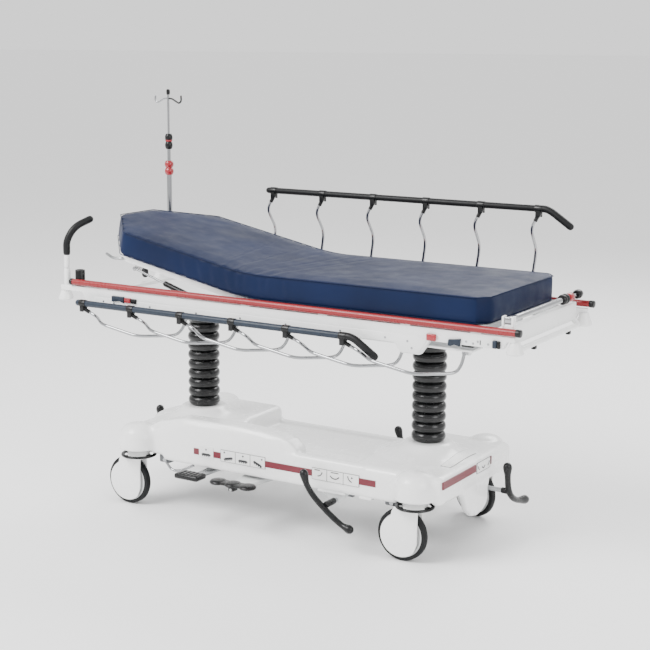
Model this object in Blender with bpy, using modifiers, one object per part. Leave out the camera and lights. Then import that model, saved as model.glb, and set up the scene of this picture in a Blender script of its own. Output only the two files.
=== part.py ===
"""Emergency stretcher trolley: a litter on two hydraulic columns over a wheeled base.

Metres, +Z up. X runs from the head end (-X) to the foot end (+X). The near side is -Y.
Run it with blender --background --python part.py, or from Blender's text editor.
"""
import math

import bmesh
import bpy
from mathutils import Matrix, Vector

# ---------------------------------------------------------------- driving dimensions
GAP = 0.0003                      # air between pieces that touch
NEAR, FAR = -1, 1                 # the two sides, as signs of Y
SIDES = {"near": NEAR, "far": FAR}

HEAD_STEM_X, FOOT_STEM_X = -0.665, 0.633
STEM_Y = 0.303
WHEEL_R = 0.1015
TRAIL = 0.050                     # the wheel trails behind its stem by this much
FOOT_FAR_YAW = math.radians(-15)

COLUMN_X = (-0.548, 0.5275)
HOOD_HALF_Y = 0.310
HOOD_TOP = 0.345
COLLAR_TOP = 0.386
BELLOWS_TOP = 0.780
BELLOWS_R = 0.067
FOLDS = 10
CYLINDER_R = 0.045
CYLINDER_TOP = 0.490
ROD_R = 0.033

BRAKE_SHAFT = (0.288, 0.182)      # x, z of the cross shaft
END_SHAFT = (0.100, 0.2015)       # y, z of the long shaft
PEDAL_HINGE = (0.205, 0.200)      # |y|, z of the foot pedals' hinges
PUMP_X, RELEASE_X = -0.312, -0.108

TILT_AXIS = (-0.010, 0.862)       # x, z of the litter's tilt pin
BEAM_INNER, BEAM_OUTER = 0.318, 0.345
BEAM_BOTTOM, BEAM_TOP = 0.835, 0.905
LITTER_END = 1.030
DECK_TOP = 0.930
MATTRESS_TOP = 1.031
MATTRESS_HALF_Y = 0.330
SEAT_END = 0.897
FOWLER_HINGE = (-0.120, 0.930)
FOWLER_LENGTH = 0.812
FOWLER_REST = math.radians(11.3)

RAIL_BUMPER = (0.345, 0.922, 0.013)   # |y|, z, radius of the bumper tube
PIVOT_LAST_X, PIVOT_PITCH, SPINDLES = 0.803, 0.248, 6
PIVOT_Y, PIVOT_Z = 0.263, 0.812
RAIL_Y, RAIL_R, KNUCKLE_DROP = 0.388, 0.013, 0.022
RAIL_FOLD = math.radians(87)
SPINDLE_R = 0.0062

POST_X, POST_Y = -1.013, 0.322
HANDLE_Z = 0.985
HEAD_POLE = (-0.972, 0.330, 1.030)
FOOT_POLE = (1.000, -0.330, 0.963)

GAS_FOOT = (-0.287, 0.858)        # x, z of the gas spring's pin on the litter
GAS_Y = 0.262
GAS_REST = math.radians(17.56)
GAS_LENGTH = 0.434


# ---------------------------------------------------------------- collections and nodes
def clear_scene():
    for obj in list(bpy.data.objects):
        bpy.data.objects.remove(obj, do_unlink=True)


def collection(name):
    made = bpy.data.collections.new(name)
    bpy.context.scene.collection.children.link(made)
    return made


clear_scene()
PARTS = collection("stretcher_trolley")
CUTTERS = collection("cutters")


def material(name, rgb, roughness, metallic=0.0):
    made = bpy.data.materials.new(name)
    made.use_nodes = True
    shader = made.node_tree.nodes["Principled BSDF"]
    shader.inputs["Base Color"].default_value = (*rgb, 1.0)
    shader.inputs["Roughness"].default_value = roughness
    shader.inputs["Metallic"].default_value = metallic
    return made


WHITE = ((0.80, 0.81, 0.80), 0.35)
BLACK = ((0.018, 0.018, 0.020), 0.45)
STEEL = ((0.16, 0.17, 0.18), 0.40, 0.8)
CHROME = ((0.70, 0.71, 0.73), 0.15, 1.0)
RED = ((0.45, 0.04, 0.05), 0.40)
NAVY = ((0.015, 0.032, 0.11), 0.75)
SLATE = ((0.035, 0.050, 0.075), 0.50)
GREY = ((0.42, 0.43, 0.44), 0.45)


def node(name, mesh, finish, origin=(0, 0, 0), turn=(0, 0, 0), parent=None, local=False):
    """One named sub-part. The mesh is in world metres unless local says it is about origin."""
    if not local:
        mesh.transform(Matrix.Translation(-Vector(origin)))
    mesh.materials.clear()
    mesh.materials.append(material(name + "_finish", *finish))
    mesh.shade_smooth()
    mesh.set_sharp_from_angle(angle=math.radians(40))
    obj = bpy.data.objects.new(name, mesh)
    PARTS.objects.link(obj)
    obj.location = origin
    obj.rotation_euler = turn
    if parent:
        bpy.context.view_layer.update()
        obj.parent = parent
        obj.matrix_parent_inverse = parent.matrix_world.inverted()
    return obj


def joint(name, place, turn=(0, 0, 0), parent=None):
    """An empty on a joint's axis, which carries the pieces that move about it."""
    empty = bpy.data.objects.new(name, None)
    PARTS.objects.link(empty)
    empty.empty_display_size = 0.05
    empty.location = place
    empty.rotation_euler = turn
    bpy.context.view_layer.update()
    if parent:
        empty.parent = parent
        empty.matrix_parent_inverse = parent.matrix_world.inverted()
        bpy.context.view_layer.update()
    return empty


# ---------------------------------------------------------------- shapes
def finish_mesh(bm, name, recalculate=True):
    if recalculate:
        bmesh.ops.recalc_face_normals(bm, faces=bm.faces[:])
        if bm.calc_volume(signed=True) < 0:
            bmesh.ops.reverse_faces(bm, faces=bm.faces[:])
    mesh = bpy.data.meshes.new(name)
    bm.to_mesh(mesh)
    bm.free()
    return mesh


def evaluated_mesh(obj, weld=0.00001, recalculate=True):
    """The object's mesh with its modifiers applied; the object is removed."""
    bpy.context.view_layer.update()
    graph = bpy.context.evaluated_depsgraph_get()
    mesh = bpy.data.meshes.new_from_object(obj.evaluated_get(graph))
    mesh.transform(obj.matrix_world)
    bpy.data.objects.remove(obj, do_unlink=True)
    bm = bmesh.new()
    bm.from_mesh(mesh)
    bmesh.ops.remove_doubles(bm, verts=bm.verts[:], dist=weld)
    return finish_mesh(bm, "shape", recalculate)


def scratch(data, name="scratch"):
    obj = bpy.data.objects.new(name, data)
    obj.hide_render = True
    CUTTERS.objects.link(obj)
    return obj


def box(x, y, z, bevel=0.0, segments=1):
    """A box between the pairs x, y and z, with rounded edges."""
    bm = bmesh.new()
    bmesh.ops.create_cube(bm, size=1.0)
    bmesh.ops.scale(bm, vec=(abs(x[1] - x[0]), abs(y[1] - y[0]), abs(z[1] - z[0])), verts=bm.verts[:])
    middle = (sum(x) / 2, sum(y) / 2, sum(z) / 2)
    bmesh.ops.translate(bm, vec=middle, verts=bm.verts[:])
    if bevel:
        bmesh.ops.bevel(bm, geom=bm.edges[:], offset=bevel, segments=segments, profile=0.5,
                        affect="EDGES", clamp_overlap=True)
    return finish_mesh(bm, "box")


def rod(start, end, radius, sides=12, end_radius=None):
    """A cylinder or a cone from start to end."""
    start, end = Vector(start), Vector(end)
    along = end - start
    turn = along.to_track_quat("Z", "Y").to_matrix().to_4x4()
    bm = bmesh.new()
    bmesh.ops.create_cone(
        bm, cap_ends=True, segments=sides, radius1=radius,
        radius2=radius if end_radius is None else end_radius, depth=along.length,
        matrix=Matrix.Translation((start + end) / 2) @ turn,
    )
    return finish_mesh(bm, "rod")


def ball(centre, radius, sides=8):
    bm = bmesh.new()
    bmesh.ops.create_uvsphere(bm, u_segments=sides, v_segments=sides // 2 + 1, radius=radius,
                              matrix=Matrix.Translation(centre))
    return finish_mesh(bm, "ball")


def rounded(points, corner, steps=2):
    """The path through the points with each inner corner turned into a small arc."""
    points = [Vector(p) for p in points]
    path = [points[0]]
    for before, here, after in zip(points, points[1:], points[2:]):
        reach_in = min(corner, (here - before).length * 0.45)
        reach_out = min(corner, (after - here).length * 0.45)
        first = here + (before - here).normalized() * reach_in
        last = here + (after - here).normalized() * reach_out
        for step in range(steps + 1):
            t = step / steps
            path.append(first * (1 - t) ** 2 + here * 2 * t * (1 - t) + last * t ** 2)
    path.append(points[-1])
    return path


def tube(points, radius, corner=0.02, steps=2, resolution=1):
    """A bent round bar as a bevelled curve with filled caps, made into a mesh."""
    path = rounded(points, corner, steps)
    curve = bpy.data.curves.new("tube", "CURVE")
    curve.dimensions = "3D"
    curve.bevel_depth = radius
    curve.bevel_resolution = resolution
    curve.use_fill_caps = True
    spline = curve.splines.new("POLY")
    spline.points.add(len(path) - 1)
    for point, place in zip(spline.points, path):
        point.co = (*place, 1.0)
    return evaluated_mesh(scratch(curve))


PLANES = {
    "XY": Matrix.Identity(4),
    "XZ": Matrix(((1, 0, 0, 0), (0, 0, -1, 0), (0, 1, 0, 0), (0, 0, 0, 1))),
    "YZ": Matrix(((0, 0, 1, 0), (1, 0, 0, 0), (0, 1, 0, 0), (0, 0, 0, 1))),
}


def plate(outline, low, high, plane="XZ"):
    """A flat outline in the named plane, thick from low to high along the third axis."""
    curve = bpy.data.curves.new("plate", "CURVE")
    curve.dimensions = "2D"
    curve.fill_mode = "BOTH"
    curve.extrude = (high - low) / 2
    spline = curve.splines.new("POLY")
    spline.points.add(len(outline) - 1)
    for point, place in zip(spline.points, outline):
        point.co = (place[0], place[1], 0.0, 1.0)
    spline.use_cyclic_u = True
    obj = scratch(curve)
    middle = (low + high) / 2
    lift = {"XY": (0, 0, middle), "XZ": (0, middle, 0), "YZ": (middle, 0, 0)}[plane]
    obj.matrix_world = Matrix.Translation(lift) @ PLANES[plane]
    return evaluated_mesh(obj)


def turned(profile, place=(0, 0, 0), axis="Z", sides=20, ring=False):
    """A profile of (radius, height) points, top to bottom on its outer side, spun by a Screw."""
    mesh = bpy.data.meshes.new("profile")
    last = len(profile) - 1
    edges = [(i, i + 1) for i in range(last)]
    if ring:
        edges.append((last, 0))
    edges = [(a, b) for a, b in edges if profile[a][0] > 0 or profile[b][0] > 0]
    mesh.from_pydata([(r, 0, h) for r, h in profile], edges, [])
    obj = scratch(mesh)
    screw = obj.modifiers.new("spin", "SCREW")
    screw.steps = sides
    screw.render_steps = sides
    screw.use_merge_vertices = True
    screw.merge_threshold = 0.00001
    made = evaluated_mesh(obj)
    made.transform(Vector({"X": (1, 0, 0), "Y": (0, 1, 0), "Z": (0, 0, 1)}[axis])
                   .to_track_quat("Z", "X").to_matrix().to_4x4())
    made.transform(Matrix.Translation(place))
    return made


def combine(first, others, operation):
    if not others:
        return first
    body = scratch(first, "body")
    helpers = []
    for index, mesh in enumerate(others):
        helper = scratch(mesh, f"helper_{index}")
        helper.display_type = "WIRE"
        modifier = body.modifiers.new(f"step_{index}", "BOOLEAN")
        modifier.operation = operation
        modifier.solver = "EXACT"
        modifier.object = helper
        helpers.append(helper)
    made = evaluated_mesh(body, 0.000001, False)
    for helper in helpers:
        bpy.data.objects.remove(helper, do_unlink=True)
    return made


def fuse(first, *others):
    return combine(first, list(others), "UNION")


def cut(first, *others):
    return combine(first, list(others), "DIFFERENCE")


def mirrored(mesh):
    """The same shape on the other side of the trolley."""
    copy = mesh.copy()
    copy.transform(Matrix.Scale(-1, 4, (0, 1, 0)))
    copy.flip_normals()
    return copy


def on_side(mesh, side):
    """A shape drawn on the near side (-Y), moved to the given side."""
    return mesh.copy() if side == NEAR else mirrored(mesh)


# ---------------------------------------------------------------- base
def base_hood():
    wall = 0.010
    bottom = 0.235
    head = box((-0.705, -0.370), (-HOOD_HALF_Y, HOOD_HALF_Y), (0.216, HOOD_TOP), 0.022, 2)
    foot = box((0.360, 0.740), (-HOOD_HALF_Y, HOOD_HALF_Y), (0.216, HOOD_TOP), 0.022, 2)
    floor = box((-0.390, 0.380), (-0.300, 0.300), (bottom, 0.268))
    near_wall = plate(
        [(-0.60, bottom), (0.40, bottom), (0.40, 0.334), (0.12, 0.335), (0.095, 0.350),
         (0.060, 0.374), (0.010, 0.390), (-0.10, 0.398), (-0.48, 0.390), (-0.60, 0.340)],
        -HOOD_HALF_Y, -0.268)
    far_wall = plate(
        [(-0.40, bottom), (0.40, bottom), (0.40, 0.300), (0.33, 0.279), (-0.34, 0.279), (-0.40, 0.300)],
        0.278, HOOD_HALF_Y)
    guard = plate(
        [(-0.140, 0.240), (-0.118, 0.195), (-0.098, 0.160), (-0.060, 0.130), (-0.020, 0.1215),
         (0.025, 0.127), (0.062, 0.143), (0.078, 0.165), (0.075, 0.205), (0.090, 0.240)],
        0.722, 0.757, "YZ")
    dome = [(0.0, 0.352), (0.045, 0.348), (0.068, 0.333), (0.080, 0.305), (0.080, 0.245), (0.0, 0.245)]
    added, removed = [foot, floor, near_wall, far_wall, guard], []
    for x in (HEAD_STEM_X, FOOT_STEM_X):
        for y in (-STEM_Y, STEM_Y):
            added.append(turned(dome, (x, y, 0), sides=20))
            removed.append(rod((x, y, 0.205), (x, y, 0.334), 0.074, 20))
    for x in COLUMN_X:
        added.append(turned([(0.0, COLLAR_TOP), (0.088, COLLAR_TOP), (0.098, 0.376), (0.118, 0.340),
                             (0.118, 0.330), (0.0, 0.330)], (x, 0, 0), sides=24))
        removed.append(rod((x, 0, 0.20), (x, 0, 0.42), CYLINDER_R + 0.0006, 20))
    inner = HOOD_HALF_Y - wall
    removed.append(box((-0.705 + wall, -0.370 - wall), (-inner, inner), (0.20, HOOD_TOP - 0.008)))
    removed.append(box((0.360 + wall, 0.740 - wall), (-inner, inner), (0.20, HOOD_TOP - 0.008)))
    removed.append(box((-0.385, 0.375), (-0.275, 0.275), (0.20, 0.262)))
    for x in ((-0.72, -0.69), (0.70, 0.80)):
        removed.append(rod((x[0], *END_SHAFT), (x[1], *END_SHAFT), 0.0115, 12))
    shell = cut(fuse(head, *added), *removed)
    node("base_hood", shell, WHITE)


def bored(block, start, end, radius, sides=10):
    """A lug with a hole for a pin."""
    return cut(block, rod(start, end, radius, sides))


def base_chassis():
    pieces = []
    for side in (NEAR, FAR):
        pieces.append(box((-0.69, 0.69), (side * 0.17, side * 0.21), (0.222, 0.252)))
    for x in (HEAD_STEM_X, FOOT_STEM_X):
        pieces.append(box((x - 0.02, x + 0.02), (-0.285, 0.285), (0.2505, 0.280)))
        for y in (-STEM_Y, STEM_Y):
            pieces.append(turned([(0.030, 0.285), (0.030, 0.2475), (0.0115, 0.2475), (0.0115, 0.285)],
                                 (x, y, 0), sides=14, ring=True))
    y, z = END_SHAFT
    for x in (COLUMN_X[0] - 0.062, COLUMN_X[0] + 0.062, COLUMN_X[1] - 0.062, COLUMN_X[1] + 0.062):
        pieces.append(box((x - 0.014, x + 0.014), (-0.195, 0.195), (0.226, 0.2495)))
    for x in (COLUMN_X[0] + 0.062, COLUMN_X[1] - 0.062):
        lug = box((x - 0.010, x + 0.010), (y - 0.018, y + 0.018), (z - 0.0155, 0.230))
        pieces.append(bored(lug, (x - 0.05, y, z), (x + 0.05, y, z), 0.0096))
    x, z = BRAKE_SHAFT
    for side in (NEAR, FAR):
        lug = box((x - 0.017, x + 0.017), (side * 0.180, side * 0.199), (z - 0.0145, 0.225))
        pieces.append(bored(lug, (x, side * 0.17, z), (x, side * 0.22, z), 0.0086))
    hinge_y, z = PEDAL_HINGE
    for side in (NEAR, FAR):
        y = side * hinge_y
        for centre in (PUMP_X, RELEASE_X):
            for low in (centre - 0.038, centre + 0.030):
                lug = box((low, low + 0.008), (y - 0.0085, y + 0.0092), (0.190, 0.2235))
                pieces.append(bored(lug, (low - 0.01, y, z), (low + 0.02, y, z), 0.0046, 8))
    node("base_chassis", fuse(*pieces), STEEL)


def jack_cylinders():
    """Both hydraulic cylinders and the channel that ties them together."""
    inner = ROD_R + 0.0016
    profile = [(CYLINDER_R, CYLINDER_TOP), (CYLINDER_R, 0.150), (0.0, 0.150), (0.0, 0.156),
               (inner, 0.156), (inner, CYLINDER_TOP)]
    barrels = []
    for x in COLUMN_X:
        barrels.append(turned(profile, (x, 0, 0), sides=18, ring=True))
    reach = CYLINDER_R - 0.006
    channel = box((COLUMN_X[0] + reach, COLUMN_X[1] - reach), (-0.014, 0.014), (0.199, 0.214))
    node("jack_cylinders", fuse(channel, *barrels), STEEL)


def bellows(name, x):
    """A rubber gaiter with sharp folds outside and a plain bore."""
    bottom = COLLAR_TOP + GAP
    pitch = (BELLOWS_TOP - bottom) / FOLDS
    outer = [(0.058, BELLOWS_TOP)]
    for fold in range(FOLDS):
        top = BELLOWS_TOP - fold * pitch
        outer.append((BELLOWS_R, top - pitch * 0.5))
        outer.append((0.058, top - pitch))
    inner = [(0.0535, bottom), (0.0535, BELLOWS_TOP)]
    node(name, turned(outer + inner, (x, 0, 0), sides=16, ring=True), BLACK)


# ---------------------------------------------------------------- casters
def caster_wheel():
    half = 0.015
    return turned([(0.0070, half), (0.094, half), (WHEEL_R, 0.007), (WHEEL_R, -0.007), (0.094, -half),
                   (0.0070, -half)], (-TRAIL, 0, WHEEL_R), "Y", sides=24, ring=True)


def caster_fork():
    """The round side covers, their crown and the black actuator ring."""
    crown = rod((0, 0, 0.206), (0, 0, 0.243), 0.0465, 16)
    pieces = [rod((0, 0, 0.240), (0, 0, 0.276), 0.0110, 12)]
    for side in (NEAR, FAR):
        inner, outer = side * 0.0185, side * 0.0250
        pieces.append(rod((-TRAIL, inner, WHEEL_R), (-TRAIL, outer, WHEEL_R), 0.083, 18))
        pieces.append(box((-0.085, 0.032), (inner, outer), (0.130, 0.2125)))
    pieces.append(rod((-TRAIL, -0.024, WHEEL_R), (-TRAIL, 0.024, WHEEL_R), 0.0064, 10))
    ring = turned([(0.0660, 0.2225), (0.0660, 0.2145), (0.0440, 0.2145), (0.0440, 0.2225)],
                  sides=16, ring=True)
    return fuse(crown, *pieces, ring)


def casters():
    places = {
        "head_near": (HEAD_STEM_X, -STEM_Y, 0.0),
        "foot_near": (FOOT_STEM_X, -STEM_Y, 0.0),
        "head_far": (HEAD_STEM_X, STEM_Y, 0.0),
        "foot_far": (FOOT_STEM_X, STEM_Y, FOOT_FAR_YAW),
    }
    fork, wheel = caster_fork(), caster_wheel()
    for name, (x, y, yaw) in places.items():
        swivel = joint("swivel_" + name, (x, y, 0), (0, 0, yaw))
        for kind, mesh, finish in (("caster_fork_", fork, WHITE), ("caster_wheel_", wheel, BLACK)):
            piece = mesh.copy()
            if kind == "caster_wheel_":
                centre = Matrix.Rotation(yaw, 3, "Z") @ Vector((-TRAIL, 0, WHEEL_R))
                piece.transform(Matrix.Translation((TRAIL, 0, -WHEEL_R)))
            else:
                centre = Vector((0, 0, 0))
            node(kind + name, piece, finish, centre + Vector((x, y, 0)), (0, 0, yaw), swivel, True)


# ---------------------------------------------------------------- brake levers and pedals
def side_brake_levers():
    x, z = BRAKE_SHAFT
    y = -0.376
    path = [(0.190, y, 0.293), (0.208, y, 0.243), (0.242, y, 0.203), (0.284, y, 0.174), (0.330, y, 0.134),
            (0.366, y, 0.112), (0.398, y, 0.103)]
    pieces = []
    for side in (NEAR, FAR):
        flip = -1 if side == FAR else 1
        pieces.append(tube([(px, py * flip, pz) for px, py, pz in path], 0.0095, 0.02))
        for end in (path[0], path[-1]):
            pieces.append(ball((end[0], end[1] * flip, end[2]), 0.0175))
    shaft = rod((x, -0.384, z), (x, 0.384, z), 0.0080, 12)
    node("side_brake_levers", fuse(shaft, *pieces), BLACK, (x, 0, z))


def end_brake_levers():
    y, z = END_SHAFT
    pieces = []
    for x in (-0.850, 0.830):
        path = [(x, 0.080, 0.306), (x, 0.088, 0.250), (x, 0.098, 0.210), (x, 0.130, 0.170),
                (x, 0.185, 0.140), (x, 0.262, 0.122)]
        pieces.append(tube(path, 0.0095, 0.02))
        pieces.append(ball(path[0], 0.0175))
        pieces.append(ball(path[-1], 0.0175))
    shaft = rod((-0.860, y, z), (0.840, y, z), 0.0090, 12)
    node("end_brake_levers", fuse(shaft, *pieces), BLACK, (0, y, z))


def pedal_hinge(x):
    """The pin and knuckle of a foot pedal, on the near side."""
    y, z = -PEDAL_HINGE[0], PEDAL_HINGE[1]
    pin = rod((x - 0.042, y, z), (x + 0.042, y, z), 0.0041, 8)
    return pin, rod((x - 0.0292, y, z), (x + 0.0292, y, z), 0.0082, 10)


def pump_pedal():
    pin, knuckle = pedal_hinge(PUMP_X)
    arm = box((PUMP_X - 0.014, PUMP_X + 0.014), (-0.400, -0.206), (0.195, 0.204))
    pad = box((-0.369, -0.256), (-0.455, -0.388), (0.201, 0.222), 0.007, 2)
    return fuse(arm, pin, knuckle, pad)


def release_bracket():
    pin, knuckle = pedal_hinge(RELEASE_X)
    arm = box((RELEASE_X - 0.014, RELEASE_X + 0.014), (-0.398, -0.206), (0.183, 0.201))
    pivot = rod((RELEASE_X, -0.394, 0.191), (RELEASE_X, -0.440, 0.191), 0.0050, 10)
    return fuse(arm, pin, knuckle, pivot)


def release_pad():
    """Three lobes on a rocking bar: raise head, lower both, raise foot."""
    low, high = 0.204, 0.219
    bar = box((-0.177, -0.039), (-0.436, -0.404), (low, high - 0.003), 0.003)
    lobes = []
    for offset in (-0.069, 0.0, 0.069):
        lobes.append(rod((RELEASE_X + offset, -0.420, low), (RELEASE_X + offset, -0.420, high), 0.0345, 14,
                         0.031))
    lug = box((RELEASE_X - 0.012, RELEASE_X + 0.012), (-0.436, -0.404), (0.183, 0.206))
    bore = rod((RELEASE_X, -0.450, 0.191), (RELEASE_X, -0.390, 0.191), 0.0056, 10)
    return cut(fuse(bar, lug, *lobes), bore)


def pedals():
    y, z = PEDAL_HINGE
    pump, bracket, pad = pump_pedal(), release_bracket(), release_pad()
    for name, side in SIDES.items():
        node("pump_pedal_" + name, on_side(pump, side), BLACK, (PUMP_X, side * y, z))
        rocker = node("release_bracket_" + name, on_side(bracket, side), GREY, (RELEASE_X, side * y, z))
        node("release_pad_" + name, on_side(pad, side), BLACK, (RELEASE_X, side * 0.420, 0.191),
             parent=rocker)


# ---------------------------------------------------------------- lifting body
def jack_rods():
    """Both piston rods, the level beam that joins them and the tilt pin."""
    x, z = TILT_AXIS
    beam = box((COLUMN_X[0], COLUMN_X[1]), (-0.030, 0.030), (0.7845, 0.802))
    pieces = [box((x - 0.017, x + 0.017), (-0.0440, 0.0440), (0.795, 0.8700))]
    pieces.append(rod((x, -0.062, z), (x, 0.062, z), 0.0080, 12))
    for column in COLUMN_X:
        pieces.append(rod((column, 0, 0.450), (column, 0, 0.800), ROD_R, 18))
        pieces.append(rod((column, 0, 0.7845), (column, 0, 0.802), 0.050, 18))
    node("jack_rods", fuse(beam, *pieces), CHROME)


def column_cap(name, x):
    """The collar and dome above a gaiter, slotted for the level beam."""
    profile = [(0.078, 0.818), (0.078, 0.7806), (0.052, 0.7806), (0.052, 0.8026), (0.0, 0.8026),
               (0.0, 0.824), (0.060, 0.824)]
    slot = box((x - 0.09, x + 0.09), (-0.0304, 0.0304), (0.775, 0.8029))
    node(name, cut(turned(profile, (x, 0, 0), sides=18, ring=True), slot), BLACK)


# ---------------------------------------------------------------- litter
def pivot_x(index):
    return PIVOT_LAST_X - PIVOT_PITCH * (SPINDLES - 1 - index)


def litter_frame():
    outline = [(-LITTER_END, 0.883), (-0.915, 0.884), (-0.885, BEAM_BOTTOM), (0.560, BEAM_BOTTOM),
               (0.585, 0.802), (0.660, 0.802), (0.700, 0.858), (0.985, 0.858), (1.000, 0.886),
               (LITTER_END, 0.887), (LITTER_END, BEAM_TOP), (-LITTER_END, BEAM_TOP)]
    added, removed = [], []
    for side in (NEAR, FAR):
        low, high = sorted((side * BEAM_INNER, side * BEAM_OUTER))
        added.append(plate(outline, low, high))
        added.append(box((-0.48, 0.86), (side * 0.2345, side * 0.325), (0.829, 0.8365)))
        added.append(box((-0.898, -0.770), (side * 0.296, side * 0.330), (0.845, 0.9040)))
        for index in range(SPINDLES):
            x = pivot_x(index)
            added.append(box((x - 0.013, x + 0.013), (side * 0.236, side * 0.2535), (0.800, 0.833)))
        for x in (-0.80, -0.45, -0.10, 0.25, 0.60, 0.88):
            added.append(box((x - 0.02, x + 0.02), (side * 0.334, side * 0.3435), (0.900, 0.9087)))
        added.extend([corner_cone(-1.0235, side * POST_Y), corner_cone(1.0235, side * POST_Y)])
    for x in (-0.230, 0.360):
        added.append(box((x - 0.015, x + 0.015), (-0.322, 0.322), (0.878, 0.9045)))
    gas_x, gas_z = GAS_FOOT
    lug = box((gas_x - 0.014, gas_x + 0.014), (-0.2480, -0.238), (0.8335, 0.866))
    added.append(bored(lug, (gas_x, -0.26, gas_z), (gas_x, -0.22, gas_z), 0.0046, 8))
    added.extend(pole_brackets())
    added.append(box((-0.880, -0.845), (-0.324, 0.324), (0.868, 0.8830)))
    added.append(box((0.925, 0.960), (-0.324, 0.324), (0.868, 0.9035)))
    x, z = TILT_AXIS
    added.append(box((x - 0.045, x + 0.045), (-0.323, 0.323), (0.876, 0.9042)))
    for side in (NEAR, FAR):
        added.append(box((x - 0.016, x + 0.016), (side * 0.0460, side * 0.0580), (0.846, 0.880)))
        added.append(rod((POST_X, side * POST_Y, 0.8805), (POST_X, side * POST_Y, 0.9700), 0.0130, 14))
    removed.append(rod((x, -0.08, z), (x, 0.08, z), 0.0086, 12))
    for index in range(SPINDLES):
        for side in (NEAR, FAR):
            removed.append(rod((pivot_x(index), side * 0.22, PIVOT_Z), (pivot_x(index), side * 0.26, PIVOT_Z),
                               0.0046, 8))
    first = added.pop(0)
    return node("litter_frame", cut(fuse(first, *added), *removed), WHITE)


def bumper_rails():
    y, z, radius = RAIL_BUMPER
    for name, side in SIDES.items():
        node("bumper_rail_" + name, rod((-0.976, side * y, z), (1.0545, side * y, z), radius, 14), RED)


def corner_cone(x, y):
    return rod((x, y, 0.840), (x, y, 0.8915), 0.031, 14, 0.017)


def foot_panel():
    """The panel across the foot end, its lower tube and the two corner bumpers."""
    panel = box((0.9855, 1.003), (-0.290, 0.290), (0.866, 0.936), 0.004)
    bar = tube([(0.995, -0.267, 0.878), (1.020, -0.267, 0.851), (1.020, 0.267, 0.851),
                (0.995, 0.267, 0.878)], 0.0100, 0.02)
    node("foot_panel", fuse(panel, bar), WHITE)


def seat_deck():
    node("seat_deck", box((-0.114, 0.905), (-0.312, 0.312), (BEAM_TOP + GAP, DECK_TOP), 0.002), GREY)


def seat_mattress():
    low = DECK_TOP + GAP
    outline = [(-0.114, low), (SEAT_END, low), (SEAT_END, MATTRESS_TOP), (-0.055, MATTRESS_TOP)]
    node("seat_mattress", plate(outline, -MATTRESS_HALF_Y, MATTRESS_HALF_Y), NAVY)


def rail_clearance(x0, x1, side):
    y, z, radius = RAIL_BUMPER
    return rod((x0, side * y, z), (x1, side * y, z), radius + 0.0008, 14)


def iv_socket():
    """The open socket at the near head corner."""
    socket = turned([(0.020, 0.971), (0.020, 0.9053), (0.0120, 0.9053), (0.0120, 0.971)],
                    (-0.945, -0.320, 0), sides=16, ring=True)
    node("iv_socket", cut(socket, rail_clearance(-1.0, -0.9, NEAR)), BLACK)


def pole_brackets():
    """The hinge blocks of both poles, with their pins, which are welded to the frame."""
    x, y, z = HEAD_POLE
    head = fuse(rod((x, y - 0.006, 0.898), (x, y - 0.006, 0.995), 0.0120, 12),
                box((x - 0.022, x - 0.0140), (y - 0.013, y + 0.013), (0.992, z + 0.014)),
                box((x + 0.0140, x + 0.022), (y - 0.013, y + 0.013), (0.992, z + 0.014)),
                box((x - 0.023, x + 0.023), (y - 0.015, y + 0.015), (0.985, 1.003)),
                rod((x - 0.018, y, z), (x + 0.018, y, z), 0.0040, 8))
    x, y, z = FOOT_POLE
    foot = fuse(box((x - 0.023, x + 0.023), (-0.340, -0.314), (0.900, 0.947)),
                box((x - 0.022, x - 0.0140), (-0.344, -0.318), (0.940, z + 0.014)),
                box((x + 0.0140, x + 0.022), (-0.344, -0.318), (0.940, z + 0.014)),
                rod((x - 0.018, y, z), (x + 0.018, y, z), 0.0040, 8))
    return (cut(head, rail_clearance(-1.02, -0.93, FAR)), cut(foot, rail_clearance(0.94, 1.06, NEAR)))


# ---------------------------------------------------------------- backrest (drawn flat about its hinge)
def fowler_outline(half, start, taper, end, tip):
    return [(-start, -half), (-taper, -half), (-end, -tip), (-end, tip), (-taper, half), (-start, half)]


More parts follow.
